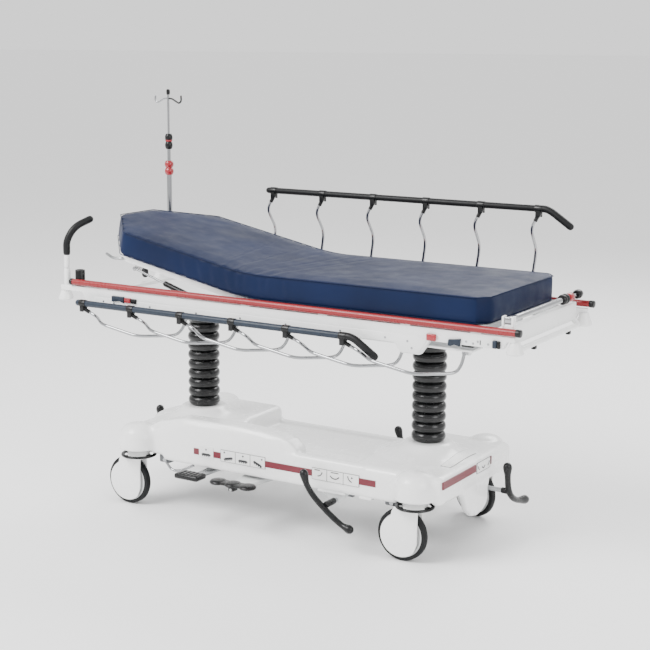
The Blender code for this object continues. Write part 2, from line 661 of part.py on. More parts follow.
def fowler_parts(litter):
    x, z = FOWLER_HINGE
    hinge = joint("fowler_joint", (x, 0, z), (0, FOWLER_REST, 0), litter)
    turn = (0, FOWLER_REST, 0)
    deck = plate(fowler_outline(0.308, 0.012, 0.610, 0.795, 0.110), -0.014, 0.0, "XY")
    flanges = [box((-0.600, -0.030), (side * 0.296, side * 0.308), (-0.0245, -0.010)) for side in (NEAR, FAR)]
    lugs = [plate([(-0.545, -0.010), (-0.615, -0.010), (-0.596, -0.068), (-0.566, -0.068)], -0.2440, -0.2400),
            rod((-0.581, -0.2410, -0.056), (-0.581, -0.2500, -0.056), 0.0050, 8)]
    bar = tube([(-0.680, -0.195, -0.010), (-0.700, -0.195, -0.028), (-0.785, -0.110, -0.028),
                (-0.785, 0.110, -0.028), (-0.700, 0.195, -0.028), (-0.680, 0.195, -0.010)], 0.008, 0.02)
    node("fowler_deck", fuse(deck, *flanges, *lugs, bar), GREY, (x, 0, z), turn, hinge, True)
    top = MATTRESS_TOP - z
    side_shape = plate([(-0.006, GAP), (-0.140, top), (-FOWLER_LENGTH, top), (-FOWLER_LENGTH, GAP)],
                       -0.40, 0.40)
    plan = plate(fowler_outline(MATTRESS_HALF_Y, 0.0, 0.615, FOWLER_LENGTH, 0.105), -0.05, 0.15, "XY")
    cushion = combine(side_shape, [plan], "INTERSECT")
    node("fowler_mattress", cushion, NAVY, (x, 0, z), turn, hinge, True)
    grips = []
    for side in (NEAR, FAR):
        grips.append(tube([(0.000, side * 0.288, 0.0), (-0.050, side * 0.288, -0.012),
                           (-0.105, side * 0.262, -0.012)], 0.0055, 0.02))
    cross = rod((0, -0.294, 0), (0, 0.294, 0), 0.0050, 10)
    release = Vector((-0.630, 0, -0.024))
    grip_place = Vector((x, 0, z)) + Matrix.Rotation(FOWLER_REST, 3, "Y") @ release
    node("fowler_release", fuse(cross, *grips), STEEL, grip_place, turn, hinge, True)


def gas_spring():
    """A cylinder pinned to the litter, and its rod that reaches the backrest's lug."""
    turn = (0, GAS_REST, 0)
    place = (GAS_FOOT[0], 0, GAS_FOOT[1])
    barrel = turned([(0.0110, 0.275), (0.0110, 0.006), (0.0, 0.006), (0.0, 0.012), (0.0052, 0.012),
                     (0.0052, 0.275)], sides=12, ring=True)
    barrel.transform(Matrix.Translation((0, -GAS_Y, 0)) @ Matrix.Rotation(math.radians(-90), 4, "Y"))
    pin = rod((0, -0.240, 0), (0, -0.268, 0), 0.0041, 8)
    eye = rod((0, -0.2495, 0), (0, -0.2680, 0), 0.0090, 10)
    body = node("gas_cylinder", fuse(barrel, eye, pin), BLACK, place, turn, None, True)
    shaft = rod((-0.050, -GAS_Y, 0), (-GAS_LENGTH, -GAS_Y, 0), 0.0045, 10)
    end = rod((-GAS_LENGTH, -0.2540, 0), (-GAS_LENGTH, -0.2680, 0), 0.0090, 10)
    node("gas_rod", fuse(shaft, end), CHROME, place, turn, body, True)


# ---------------------------------------------------------------- side rails
def spindle_mesh():
    """One bent spindle, raised, about its pivot. Drawn on the far side (+Y outward)."""
    out = -PIVOT_Y
    knuckle = (-0.010, RAIL_Y + out, 0.436)
    path = [knuckle, (-0.036, 0.374 + out, 0.378), (-0.042, 0.452 + out, 0.284),
            (-0.063, 0.449 + out, 0.108), (-0.060, 0.345 + out, -0.006), (-0.040, 0.297 + out, -0.005),
            (0, 0.005, 0)]
    rod_body = tube(path, SPINDLE_R, 0.030, steps=1)
    top_eye = rod((knuckle[0], knuckle[1] - 0.0065, knuckle[2]), (knuckle[0], knuckle[1] + 0.0065, knuckle[2]),
                  0.0095, 8)
    foot_eye = rod((0, -0.0080, 0), (0, 0.0090, 0), 0.0100, 8)
    pin = rod((0, -0.0300, 0), (0, 0, 0), 0.0041, 6)
    return fuse(rod_body, top_eye, foot_eye, pin)


def rail_mesh():
    """The top rail, about the first spindle's knuckle. Drawn on the far side."""
    span = PIVOT_PITCH * (SPINDLES - 1)
    top = KNUCKLE_DROP
    bar = tube([(-0.030, 0, top), (span + 0.035, 0, top), (span + 0.135, 0, top - 0.064)], RAIL_R, 0.03,
               steps=3, resolution=3)
    cheeks = []
    for index in range(SPINDLES):
        x = PIVOT_PITCH * index
        for side in (NEAR, FAR):
            cheeks.append(box((x - 0.009, x + 0.009), (side * 0.0096, side * 0.0122), (-0.010, top)))
    return fuse(bar, *cheeks)


def side_rails(litter):
    spindle, rail = spindle_mesh(), rail_mesh()
    for name, side in SIDES.items():
        fold = -RAIL_FOLD if side == NEAR else 0.0
        first = None
        for index in range(SPINDLES):
            mesh = spindle.copy() if side == FAR else mirrored(spindle)
            place = Vector((pivot_x(index), side * PIVOT_Y, PIVOT_Z))
            made = node(f"rail_spindle_{name}_{index + 1}", mesh, CHROME, place, (0, fold, 0), litter, True)
            first = first or made
        knuckle = Matrix.Rotation(fold, 3, "Y") @ Vector((-0.010, side * (RAIL_Y - PIVOT_Y), 0.436))
        place = knuckle + Vector((pivot_x(0), side * PIVOT_Y, PIVOT_Z))
        mesh = rail.copy() if side == FAR else mirrored(rail)
        finish = SLATE if side == NEAR else BLACK
        node("side_rail_" + name, mesh, finish, place, (0, 0, 0), first, True)
        latch = box((0.694, 0.730), (-BEAM_OUTER - 0.013, -BEAM_OUTER - GAP), (0.862, 0.886), 0.003)
        node("rail_latch_" + name, on_side(latch, side), RED, (0.712, side * BEAM_OUTER, 0.882),
             parent=litter)


# ---------------------------------------------------------------- push handles and poles
def handle_mesh():
    """A grip that rises from its post and bends inward. Drawn on the near side, about its hinge."""
    post = rod((0, 0, -0.010), (0, 0, 0.030), 0.0100, 12)
    grip = tube([(0, 0, 0.008), (0, 0, 0.100), (0.022, 0.028, 0.160), (0.048, 0.095, 0.186)], 0.0145,
                0.04, steps=3, resolution=2)
    return fuse(grip, post)


def push_handles(litter):
    grip = handle_mesh()
    for name, side in SIDES.items():
        mesh = grip.copy() if side == NEAR else mirrored(grip)
        fold = 0.0 if side == NEAR else math.radians(90)
        node("push_handle_" + name, mesh, BLACK, (POST_X, side * POST_Y, HANDLE_Z), (fold, 0, 0),
             litter, True)


def pole_lower(length, bore):
    """A pole's outer tube with its hinge bore, drawn along +Z about the hinge."""
    body = turned([(0.0110, length), (0.0110, 0.050), (0.0, 0.050), (0.0, 0.056), (bore, 0.056),
                   (bore, length)], sides=14, ring=True)
    foot = box((-0.0135, 0.0135), (-0.0110, 0.0110), (-0.0105, 0.051), 0.002)
    hole = rod((-0.03, 0, 0), (0.03, 0, 0), 0.0046, 8)
    return cut(fuse(foot, body), hole)


def collar(low, high, radius, bore):
    middle = (low + high) / 2
    return turned([(radius * 0.7, high), (radius, high - 0.008), (radius * 0.8, middle),
                   (radius, low + 0.008), (radius * 0.7, low), (bore, low), (bore, high)], sides=14, ring=True)


def head_pole(litter):
    x, y, z = HEAD_POLE
    lower = fuse(pole_lower(1.330 - z, 0.0080), collar(1.316 - z, 1.379 - z, 0.0200, 0.0080))
    base = node("iv_pole_head_lower", lower, CHROME, HEAD_POLE, (0, 0, 0), litter, True)
    tube_body = turned([(0.0075, 1.440 - z), (0.0075, 1.120 - z), (0.0055, 1.120 - z),
                        (0.0055, 1.440 - z)], sides=12, ring=True)
    middle = fuse(tube_body, collar(1.431 - z, 1.499 - z, 0.0170, 0.0055))
    middle_node = node("iv_pole_head_middle", middle, CHROME, HEAD_POLE, (0, 0, 0), base, True)
    stem = rod((0, 0, 1.225 - z), (0, 0, 1.690 - z), 0.0049, 10)
    hooks = []
    for side in (-1, 1):
        hook = [(0, 0, 1.655), (side * 0.030, 0, 1.650), (side * 0.060, 0, 1.636), (side * 0.072, 0, 1.650),
                (side * 0.070, 0, 1.668)]
        hooks.append(tube([(hx, hy, hz - z) for hx, hy, hz in hook], 0.0036, 0.01))
    cap = rod((0, 0, 1.676 - z), (0, 0, 1.696 - z), 0.0085, 10)
    node("iv_pole_head_top", fuse(stem, *hooks, cap), CHROME, HEAD_POLE, (0, 0, 0), middle_node, True)


def foot_pole(litter):
    """Stowed across the foot end: drawn along +Z, then laid toward +Y."""
    stow = (math.radians(-90), 0, 0)
    lower = fuse(pole_lower(0.490, 0.0080), collar(0.470, 0.520, 0.0200, 0.0080))
    base = node("iv_pole_foot_lower", lower, CHROME, FOOT_POLE, stow, litter, True)
    stem = rod((0, 0, 0.120), (0, 0, 0.630), 0.0075, 12)
    ring = rod((0, 0, 0.535), (0, 0, 0.570), 0.0165, 12)
    knob = rod((0, 0, 0.618), (0, 0, 0.660), 0.0180, 12, 0.012)
    node("iv_pole_foot_upper", fuse(stem, ring, knob), CHROME, FOOT_POLE, stow, base, True)


def build():
    base_hood()
    base_chassis()
    jack_cylinders()
    for name, x in zip(("bellows_head", "bellows_foot"), COLUMN_X):
        bellows(name, x)
        column_cap(name.replace("bellows", "column_cap"), x)
    casters()
    side_brake_levers()
    end_brake_levers()
    pedals()
    jack_rods()
    litter = litter_frame()
    bumper_rails()
    foot_panel()
    seat_deck()
    seat_mattress()
    iv_socket()
    fowler_parts(litter)
    gas_spring()
    side_rails(litter)
    push_handles(litter)
    head_pole(litter)
    foot_pole(litter)


build()
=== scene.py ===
"""Stretcher trolley: surfaces, materials, light and camera over the trolley's CAD frame.

Metres, +Z up. X runs from the head end (-X) to the foot end (+X). The near side is -Y.
"""

import math

import bpy
from bpy.props import FloatProperty, FloatVectorProperty, IntProperty, PointerProperty
from mathutils import Matrix, Vector


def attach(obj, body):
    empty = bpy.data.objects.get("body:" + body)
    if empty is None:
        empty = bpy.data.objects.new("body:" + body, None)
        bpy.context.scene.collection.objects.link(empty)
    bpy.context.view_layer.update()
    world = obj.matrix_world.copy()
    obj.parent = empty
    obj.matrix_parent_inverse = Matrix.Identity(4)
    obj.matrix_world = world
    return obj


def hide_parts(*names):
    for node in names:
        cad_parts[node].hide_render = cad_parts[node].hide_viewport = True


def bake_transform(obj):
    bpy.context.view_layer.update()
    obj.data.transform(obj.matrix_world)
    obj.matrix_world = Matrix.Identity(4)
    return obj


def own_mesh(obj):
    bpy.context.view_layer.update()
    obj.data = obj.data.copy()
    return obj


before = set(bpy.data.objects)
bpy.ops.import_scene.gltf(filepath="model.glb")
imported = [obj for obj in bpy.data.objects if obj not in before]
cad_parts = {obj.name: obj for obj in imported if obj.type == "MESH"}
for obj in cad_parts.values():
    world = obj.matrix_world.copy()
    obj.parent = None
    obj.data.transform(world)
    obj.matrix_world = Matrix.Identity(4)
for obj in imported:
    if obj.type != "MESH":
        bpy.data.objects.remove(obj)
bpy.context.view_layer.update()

bl_info = {
    "name": "Stretcher trolley",
    "version": (1, 0, 0),
    "blender": (4, 5, 0),
    "location": "3D View > Sidebar > Trolley",
    "description": "Builds the finished surfaces of a stretcher trolley over its CAD frame",
    "category": "Object",
}

NEAR, FAR = -1, 1
SIDES = {"near": NEAR, "far": FAR}
MIRROR = Matrix.Scale(-1, 4, (0, 1, 0))

STEMS = {
    "head_near": (-0.665, -0.303, 0.0),
    "foot_near": (0.633, -0.303, 0.0),
    "head_far": (-0.665, 0.303, 0.0),
    "foot_far": (0.633, 0.303, math.radians(-15)),
}
WHEEL_R, TRAIL = 0.1015, 0.050
COLUMN_X = {"head": -0.548, "foot": 0.5275}
HOOD_Y = 0.310
COLLAR_TOP, BELLOWS_TOP = 0.3863, 0.780
BRAKE_SHAFT = (0.288, 0.182)
END_SHAFT = (0.100, 0.2015)
PUMP_X, RELEASE_X = -0.312, -0.108
BEAM_INNER, BEAM_OUTER = 0.318, 0.345
BUMPER = (0.345, 0.922, 0.013)
DECK_TOP, MATTRESS_TOP = 0.9303, 1.031
MATTRESS_FOOT, MATTRESS_HEAD = -1.030, 0.812   # its ends, along it from the hinge
MATTRESS_HALF, TAPER_START, TIP_HALF = 0.330, 0.615, 0.106
CORNER_CLIP = (0.040, 0.055)       # how far each foot corner is clipped, along and across
HINGE = (-0.120, 0.930)
HINGE_ARC = 0.100                  # the mattress bends over this far each side of the hinge
BACK_REST = math.radians(11.3)
PIVOT_LAST_X, PITCH, SPINDLES = 0.803, 0.248, 6
PIVOT_Y, PIVOT_Z = 0.263, 0.812
RAIL_Y, KNUCKLE_DROP = 0.388, 0.022
KNUCKLE = (-0.010, RAIL_Y - PIVOT_Y, 0.436)
RAIL_FOLD = math.radians(87)
POST = (-1.013, 0.322)
HANDLE_Z = 0.985
HEAD_POLE = (-0.972, 0.330, 1.030)
FOOT_POLE = (1.000, -0.330, 0.963)


# ---------------------------------------------------------------- settings
def colour(name, description, rgb):
    return FloatVectorProperty(name=name, description=description, default=rgb, subtype="COLOR",
                               size=3, min=0.0, max=1.0)


def length(name, description, metres):
    return FloatProperty(name=name, description=description, default=metres, min=0.0,
                         unit="LENGTH", subtype="DISTANCE")


class TrolleyColours(bpy.types.PropertyGroup):
    """The colours of the trolley's finishes."""
    white: colour("White", "Moulded hood and caster covers", (0.88, 0.88, 0.875))
    paint: colour("White paint", "Painted litter frame", (0.85, 0.855, 0.85))
    navy: colour("Mattress", "Mattress cover", (0.0026, 0.0085, 0.0360))
    red: colour("Bumper rail", "Side bumper rails", (0.24, 0.016, 0.020))
    stripe: colour("Stripe", "Stripe along the hood", (0.13, 0.006, 0.016))
    slate: colour("Near rail", "Top bar of the near side rail", (0.014, 0.022, 0.036))
    black: colour("Black", "Rubber and plastic", (0.0024, 0.0026, 0.0030))
    steel: colour("Bright steel", "Chromed and bare steel", (0.36, 0.365, 0.375))


class TrolleySizes(bpy.types.PropertyGroup):
    """The sizes that shape the softer and finer pieces."""
    swell: length("Mattress swell", "Most that the mattress cover puffs out", 0.007)
    crease: length("Crease depth", "Depth of the creases over the backrest hinge", 0.0042)
    welt: length("Welt", "Radius of the welt round the mattress", 0.0019)
    spindle: length("Spindle radius", "Radius of the side rails' uprights", 0.0062)
    rail: length("Rail radius", "Radius of the side rails' top bars", 0.0130)
    folds: IntProperty(name="Gaiter folds", description="Folds in each rubber gaiter", default=10, min=4,
                       max=16)


class TrolleyStage(bpy.types.PropertyGroup):
    """The camera and light."""
    camera: FloatVectorProperty(name="Camera", description="Place of the camera", subtype="TRANSLATION",
                                unit="LENGTH", default=(3.0178, -4.8678, 1.9008))
    target: FloatVectorProperty(name="Target", description="Point in the middle of the view",
                                subtype="TRANSLATION", unit="LENGTH", default=(0.0528, 0.0, 0.7909))
    roll: FloatProperty(name="Roll", description="Tilt of the camera about its view", subtype="ANGLE",
                        default=math.radians(0.34))
    lens: FloatProperty(name="Lens", description="Focal length in millimetres", default=80.2, min=10.0)
    light: FloatProperty(name="Light", description="Strength of the studio light", default=1.0, min=0.0)


# ---------------------------------------------------------------- modelling
def deselect():
    if bpy.context.object and bpy.context.object.mode != "OBJECT":
        bpy.ops.object.mode_set(mode="OBJECT")
    bpy.ops.object.select_all(action="DESELECT")


def select(*objs):
    deselect()
    for obj in objs:
        obj.select_set(True)
    bpy.context.view_layer.objects.active = objs[0]


def named(name):
    obj = bpy.context.object
    obj.name = name
    obj.data.name = name
    return obj


def settled(obj):
    """Puts the object's place, turn and size into its mesh."""
    select(obj)
    bpy.ops.object.transform_apply(location=True, rotation=True, scale=True)
    return obj


def moved(obj, matrix):
    obj.matrix_world = matrix
    settled(obj)
    if matrix.determinant() < 0:
        bpy.ops.object.mode_set(mode="EDIT")
        bpy.ops.mesh.select_all(action="SELECT")
        bpy.ops.mesh.normals_make_consistent(inside=False)
        bpy.ops.object.mode_set(mode="OBJECT")
    return obj


def cleaned(obj, merge=0.00001):
    select(obj)
    bpy.ops.object.mode_set(mode="EDIT")
    bpy.ops.mesh.select_all(action="SELECT")
    bpy.ops.mesh.remove_doubles(threshold=merge)
    bpy.ops.mesh.normals_make_consistent(inside=False)
    bpy.ops.object.mode_set(mode="OBJECT")
    return obj


def applied(obj, kind, **settings):
    select(obj)
    modifier = obj.modifiers.new("step", kind)
    for key, value in settings.items():
        setattr(modifier, key, value)
    bpy.ops.object.modifier_apply(modifier=modifier.name)
    return obj


def softened(obj, width, segments=3, angle=32):
    return applied(obj, "BEVEL", width=width, segments=segments, limit_method="ANGLE",
                   angle_limit=math.radians(angle))


def joined(obj, *others):
    select(obj, *others)
    bpy.ops.object.join()
    return obj


def fused(obj, *others, operation="UNION"):
    for other in others:
        applied(obj, "BOOLEAN", operation=operation, solver="EXACT", object=other)
        select(other)
        bpy.ops.object.delete()
    return obj


def copied(obj, name, matrix):
    select(obj)
    bpy.ops.object.duplicate()
    return moved(named(name), matrix)


def mirrored(obj, name):
    return copied(obj, name, MIRROR)


def block(name, x, y, z, edge=0.0, segments=3):
    """A box between the pairs x, y and z, with rounded edges."""
    deselect()
    bpy.ops.mesh.primitive_cube_add(size=1.0, location=[sum(pair) / 2 for pair in (x, y, z)],
                                    scale=[abs(pair[1] - pair[0]) for pair in (x, y, z)])
    obj = settled(named(name))
    return softened(obj, edge, segments) if edge else obj


def rod(name, start, end, radius, end_radius=None, edge=0.0, sides=32):
    start, end = Vector(start), Vector(end)
    along = end - start
    deselect()
    bpy.ops.mesh.primitive_cone_add(vertices=sides, radius1=radius, depth=along.length,
                                    radius2=radius if end_radius is None else end_radius,
                                    location=(start + end) / 2,
                                    rotation=along.to_track_quat("Z", "Y").to_euler())
    obj = settled(named(name))
    return softened(obj, edge) if edge else obj


def rounded(points, corner, steps=7):
    """The path through the points with each inner corner turned into an arc."""
    points = [Vector(point) for point in points]
    path = [points[0]]
    for before, here, after in zip(points, points[1:], points[2:]):
        reach_in = min(corner, (here - before).length * 0.48)
        reach_out = min(corner, (after - here).length * 0.48)
        first = here + (before - here).normalized() * reach_in
        last = here + (after - here).normalized() * reach_out
        for step in range(steps + 1):
            t = step / steps
            path.append(first * (1 - t) ** 2 + here * 2 * t * (1 - t) + last * t ** 2)
    path.append(points[-1])
    return path


def flowing(points, steps=8):
    """A smooth curve through every point."""
    points = [Vector(point) for point in points]
    padded = [2 * points[0] - points[1], *points, 2 * points[-1] - points[-2]]
    path = []
    for a, b, c, d in zip(padded, padded[1:], padded[2:], padded[3:]):
        for step in range(steps):
            t = step / steps
            path.append(0.5 * (2 * b + (c - a) * t + (2 * a - 5 * b + 4 * c - d) * t ** 2
                               + (3 * b - a - 3 * c + d) * t ** 3))
    path.append(points[-1])
    return path


def tube(name, path, radius, radii=None, resolution=5, domed=False):
    """A round bar along a path. radii are shares of radius, one for each point."""
    places = [Vector(point) for point in path]
    radii = list(radii) if radii else [1.0] * len(places)
    if domed:
        back = (places[0] - places[1]).normalized() * radius * radii[0]
        on = (places[-1] - places[-2]).normalized() * radius * radii[-1]
        first, last, small, large = places[0], places[-1], radii[0], radii[-1]
        for degrees in (30, 52, 70, 84):
            reach, shrink = math.sin(math.radians(degrees)), math.cos(math.radians(degrees))
            places.insert(0, first + back * reach)
            radii.insert(0, small * shrink)
            places.append(last + on * reach)
            radii.append(large * shrink)
    deselect()
    bpy.ops.curve.primitive_nurbs_path_add()
    curve = named(name).data
    curve.splines.clear()
    curve.bevel_depth = radius
    curve.bevel_resolution = resolution
    curve.use_fill_caps = True
    spline = curve.splines.new("POLY")
    spline.points.add(len(places) - 1)
    for point, place, size in zip(spline.points, places, radii):
        point.co = (*place, 1.0)
        point.radius = size
    bpy.ops.object.convert(target="MESH")
    return cleaned(settled(named(name)))


def outlined(name, points):
    """A chain of edges through the points, left in edit mode."""
    points = [Vector(point) for point in points]
    deselect()
    bpy.ops.mesh.primitive_plane_add(size=0.0001, location=points[0])
    obj = settled(named(name))
    bpy.ops.object.mode_set(mode="EDIT")
    bpy.ops.mesh.select_mode(type="VERT")
    bpy.ops.mesh.merge(type="CENTER")
    for here, after in zip(points, points[1:]):
        bpy.ops.mesh.extrude_region_move(TRANSFORM_OT_translate={"value": after - here})
    bpy.ops.mesh.select_all(action="SELECT")
    return obj


def lathe(name, profile, place=(0, 0, 0), axis="Z", steps=48):
    """Spins (radius, height) points round an axis. A profile off the axis is closed into a ring."""
    points = [(radius, 0, height) for radius, height in profile]
    if profile[0][0] > 0 and profile[-1][0] > 0:
        points.append(points[0])
    obj = outlined(name, points)
    bpy.ops.mesh.spin(steps=steps, angle=math.tau, center=(0, 0, 0), axis=(0, 0, 1))
    cleaned(obj)
    turn = {"X": (1, 0, 0), "Y": (0, 1, 0), "Z": (0, 0, 1)}[axis]
    return moved(obj, Matrix.Translation(place) @ Vector(turn).to_track_quat("Z", "X").to_matrix().to_4x4())


def plate(name, outline, low, high, plane="XZ", edge=0.0, segments=3):
    """A flat outline in the named plane, thick from low to high along the third axis."""
    def place(a, b, c):
        return Vector({"XY": (a, b, c), "XZ": (a, c, b), "YZ": (c, a, b)}[plane])
    obj = outlined(name, [place(a, b, low) for a, b in outline])
    bpy.ops.mesh.edge_face_add()
    bpy.ops.mesh.extrude_region_move(TRANSFORM_OT_translate={"value": place(0, 0, high - low)})
    cleaned(obj)
    return softened(obj, edge, segments) if edge else obj


def done(obj, finish, body, *nodes, angle=34):
    """Gives a piece its material and its body, and shows it in place of the CAD nodes."""
    if finish:
        obj.data.materials.clear()
        obj.data.materials.append(finish)
    select(obj)
    bpy.ops.object.shade_smooth_by_angle(angle=math.radians(angle))
    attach(obj, body)
    if nodes:
        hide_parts(*nodes)
    return obj


# ---------------------------------------------------------------- materials
def shader_node(tree, kind, inputs=None, **settings):
    made = tree.nodes.new("ShaderNode" + kind)
    for key, value in settings.items():
        setattr(made, key, value)
    for key, value in (inputs or {}).items():
        made.inputs[key].default_value = value
    return made


def pattern(tree, scale, detail=3.0, stretch=(1, 1, 1), kind="TexNoise"):
    """A noise or cell texture on object coordinates."""
    place = shader_node(tree, "TexCoord")
    mapping = shader_node(tree, "Mapping", {"Scale": stretch})
    inputs = {"Scale": scale}
    if kind == "TexNoise":
        inputs["Detail"] = detail
    texture = shader_node(tree, kind, inputs)
    tree.links.new(place.outputs["Object"], mapping.inputs["Vector"])
    tree.links.new(mapping.outputs["Vector"], texture.inputs["Vector"])
    return texture.outputs[0]


def ranged(tree, value, low, high, start=0.3, end=0.7):
    spread = shader_node(tree, "MapRange", {"From Min": start, "From Max": end, "To Min": low,
                                            "To Max": high})
    tree.links.new(value, spread.inputs["Value"])
    return spread.outputs["Result"]


def tinted(tree, value, low, high, start=0.3, end=0.7):
    """A colour between low and high, by the value."""
    ramp = shader_node(tree, "ValToRGB")
    ramp.color_ramp.elements[0].position = start
    ramp.color_ramp.elements[0].color = (*low, 1)
    ramp.color_ramp.elements[1].position = end
    ramp.color_ramp.elements[1].color = (*high, 1)
    tree.links.new(value, ramp.inputs["Fac"])
    return ramp.outputs["Color"]


def relief(tree, heights, shader):
    """Stacks bumps. heights are (value, strength, distance)."""
    previous = None
    for value, strength, distance in heights:
        bump = shader_node(tree, "Bump", {"Strength": strength, "Distance": distance})
        tree.links.new(value, bump.inputs["Height"])
        if previous:
            tree.links.new(previous, bump.inputs["Normal"])
        previous = bump.outputs["Normal"]
    tree.links.new(previous, shader.inputs["Normal"])


def base_material(name, gloss):
    material = bpy.data.materials.new(name)
    material.use_nodes = True
    shader = material.node_tree.nodes["Principled BSDF"]
    for key, value in gloss.items():
        shader.inputs[key].default_value = value
    return material, material.node_tree, shader


def finish(name, rgb, roughness, tint=0.06, cloud=5.0, spread=0.06, grain=(900, 0.05, 0.0004),
           stretch=(1, 1, 1), cells=None, **gloss):
    """A hard finish whose colour, gloss and relief all vary a little."""
    keys = {key.replace("_", " ").title(): value for key, value in gloss.items()}
    keys = {key.replace("Ior", "IOR"): value for key, value in keys.items()}
    material, tree, shader = base_material(name, keys)
    low = [channel * (1 - tint) for channel in rgb]
    high = [min(1.0, channel * (1 + tint)) for channel in rgb]
    clouds = pattern(tree, cloud, 5.0, stretch)
    tree.links.new(tinted(tree, clouds, low, high), shader.inputs["Base Color"])
    smears = pattern(tree, cloud * 7, 6.0, stretch)
    tree.links.new(ranged(tree, smears, roughness - spread, roughness + spread), shader.inputs["Roughness"])
    heights = [(pattern(tree, grain[0], 2.0), grain[1], grain[2])]
    if cells:
        heights.append((pattern(tree, cells[0], kind="TexVoronoi"), cells[1], cells[2]))
    relief(tree, heights, shader)
    return material


def fabric(name, rgb):
    """A proofed woven cover: fine crossed threads, soft sheen and faint handling marks."""
    material, tree, shader = base_material(name, {
        "Sheen Weight": 0.02, "Sheen Roughness": 0.40, "Specular IOR Level": 0.14})
    place = shader_node(tree, "TexCoord")
    heights = []
    for turn in ((0, 0, 0), (0, 0, math.radians(90)), (0, math.radians(90), 0)):
        mapping = shader_node(tree, "Mapping", {"Rotation": turn})
        wave = shader_node(tree, "TexWave", {"Scale": 190.0, "Distortion": 0.6, "Detail": 1.0,
                                             "Detail Scale": 2.0})
        tree.links.new(place.outputs["Object"], mapping.inputs["Vector"])
        tree.links.new(mapping.outputs["Vector"], wave.inputs["Vector"])
        heights.append((wave.outputs["Fac"], 0.10, 0.0003))
    heights.append((pattern(tree, 42.0, 5.0, (1, 1, 2)), 0.10, 0.0020))
    heights.append((pattern(tree, 9.0, 4.0, (0.6, 1.4, 1)), 0.16, 0.0040))
    relief(tree, heights, shader)
    low = [channel * 0.84 for channel in rgb]
    high = [channel * 1.20 for channel in rgb]
    tree.links.new(tinted(tree, pattern(tree, 4.0, 6.0), low, high), shader.inputs["Base Color"])
    tree.links.new(ranged(tree, pattern(tree, 15.0, 6.0), 0.40, 0.56), shader.inputs["Roughness"])
    return material


class Finishes:
    """The trolley's materials, made once from the colour settings."""
    made = {}

    @classmethod
    def make(cls, colours):
        black = Vector(colours.black)
        cls.made = {
            "hood": finish("moulded_white", colours.white, 0.24, 0.018, 3.0, 0.07, (260, 0.03, 0.0004),
                           coat_weight=0.35, coat_roughness=0.12),
            "paint": finish("painted_white", colours.paint, 0.33, 0.025, 6.0, 0.07, (1400, 0.10, 0.0002),
                            coat_weight=0.15, coat_roughness=0.25),
            "grey": finish("painted_grey", (0.40, 0.41, 0.42), 0.38, 0.06, 8.0, 0.08, (1200, 0.12, 0.0002)),
            "pale": finish("pale_plastic", (0.60, 0.61, 0.61), 0.36, 0.04, 8.0, 0.07, (900, 0.06, 0.0002)),
            "chrome": finish("chrome", colours.steel, 0.13, 0.07, 14.0, 0.06, (600, 0.02, 0.0001),
                             metallic=1.0),
            "steel": finish("satin_steel", (0.42, 0.43, 0.44), 0.30, 0.12, 18.0, 0.09, (900, 0.08, 0.0002),
                            (1, 1, 4), metallic=1.0),
            "dark_steel": finish("dark_steel", (0.12, 0.125, 0.13), 0.42, 0.20, 14.0, 0.10,
                                 (700, 0.12, 0.0003), metallic=0.75),
            "rubber": finish("gaiter_rubber", black * 0.9, 0.24, 0.20, 10.0, 0.04, (700, 0.02, 0.0001),
                             specular_ior_level=0.45),
            "tyre": finish("tyre_rubber", black * 1.5, 0.58, 0.25, 16.0, 0.10, (420, 0.16, 0.0004),
                           specular_ior_level=0.28),
            "plastic": finish("black_plastic", black * 1.1, 0.30, 0.20, 12.0, 0.07, (1100, 0.08, 0.0002),
                              cells=(900, 0.10, 0.0002), specular_ior_level=0.34),
            "grip": finish("grip_rubber", black * 1.6, 0.46, 0.18, 14.0, 0.08, (700, 0.12, 0.0003),
                           cells=(700, 0.20, 0.0003), specular_ior_level=0.26),
            "slate": finish("slate_rail", colours.slate, 0.40, 0.22, 40.0, 0.10, (800, 0.14, 0.0003),
                            cells=(420, 0.16, 0.0003), specular_ior_level=0.32),
            "red": finish("red_rail", colours.red, 0.30, 0.07, 7.0, 0.07, (900, 0.08, 0.0002),
                          specular_ior_level=0.38),
            "red_plastic": finish("red_plastic", (0.30, 0.010, 0.018), 0.24, 0.10, 14.0, 0.06,
                                  (900, 0.06, 0.0002), coat_weight=0.3, coat_roughness=0.15),
            "stripe": finish("stripe_film", colours.stripe, 0.34, 0.07, 60.0, 0.06, (1500, 0.06, 0.0002)),
            "label": finish("label_film", (0.82, 0.82, 0.81), 0.30, 0.02, 20.0, 0.05, (1500, 0.04, 0.0002)),
            "ink": finish("printed_black", (0.018, 0.018, 0.020), 0.40, 0.20, 60.0, 0.05,
                          (1500, 0.05, 0.0002)),
            "fabric": fabric("mattress_cover", Vector(colours.navy)),
        }
        return cls.made


def settings():
    return bpy.context.scene.trolley_sizes


def look(name):
    made = Finishes.made or Finishes.make(bpy.context.scene.trolley_colours)
    return made[name]


# ---------------------------------------------------------------- base
def mound(name, x):
    """The moulded skirt that rises to a column's collar."""
    profile = [(0.0, 0.386), (0.086, 0.386), (0.096, 0.381), (0.104, 0.370), (0.120, 0.357), (0.150, 0.346),
               (0.195, 0.338), (0.215, 0.330), (0.215, 0.300), (0.0, 0.300)]
    return lathe(name, profile, (x, 0, 0), steps=64)


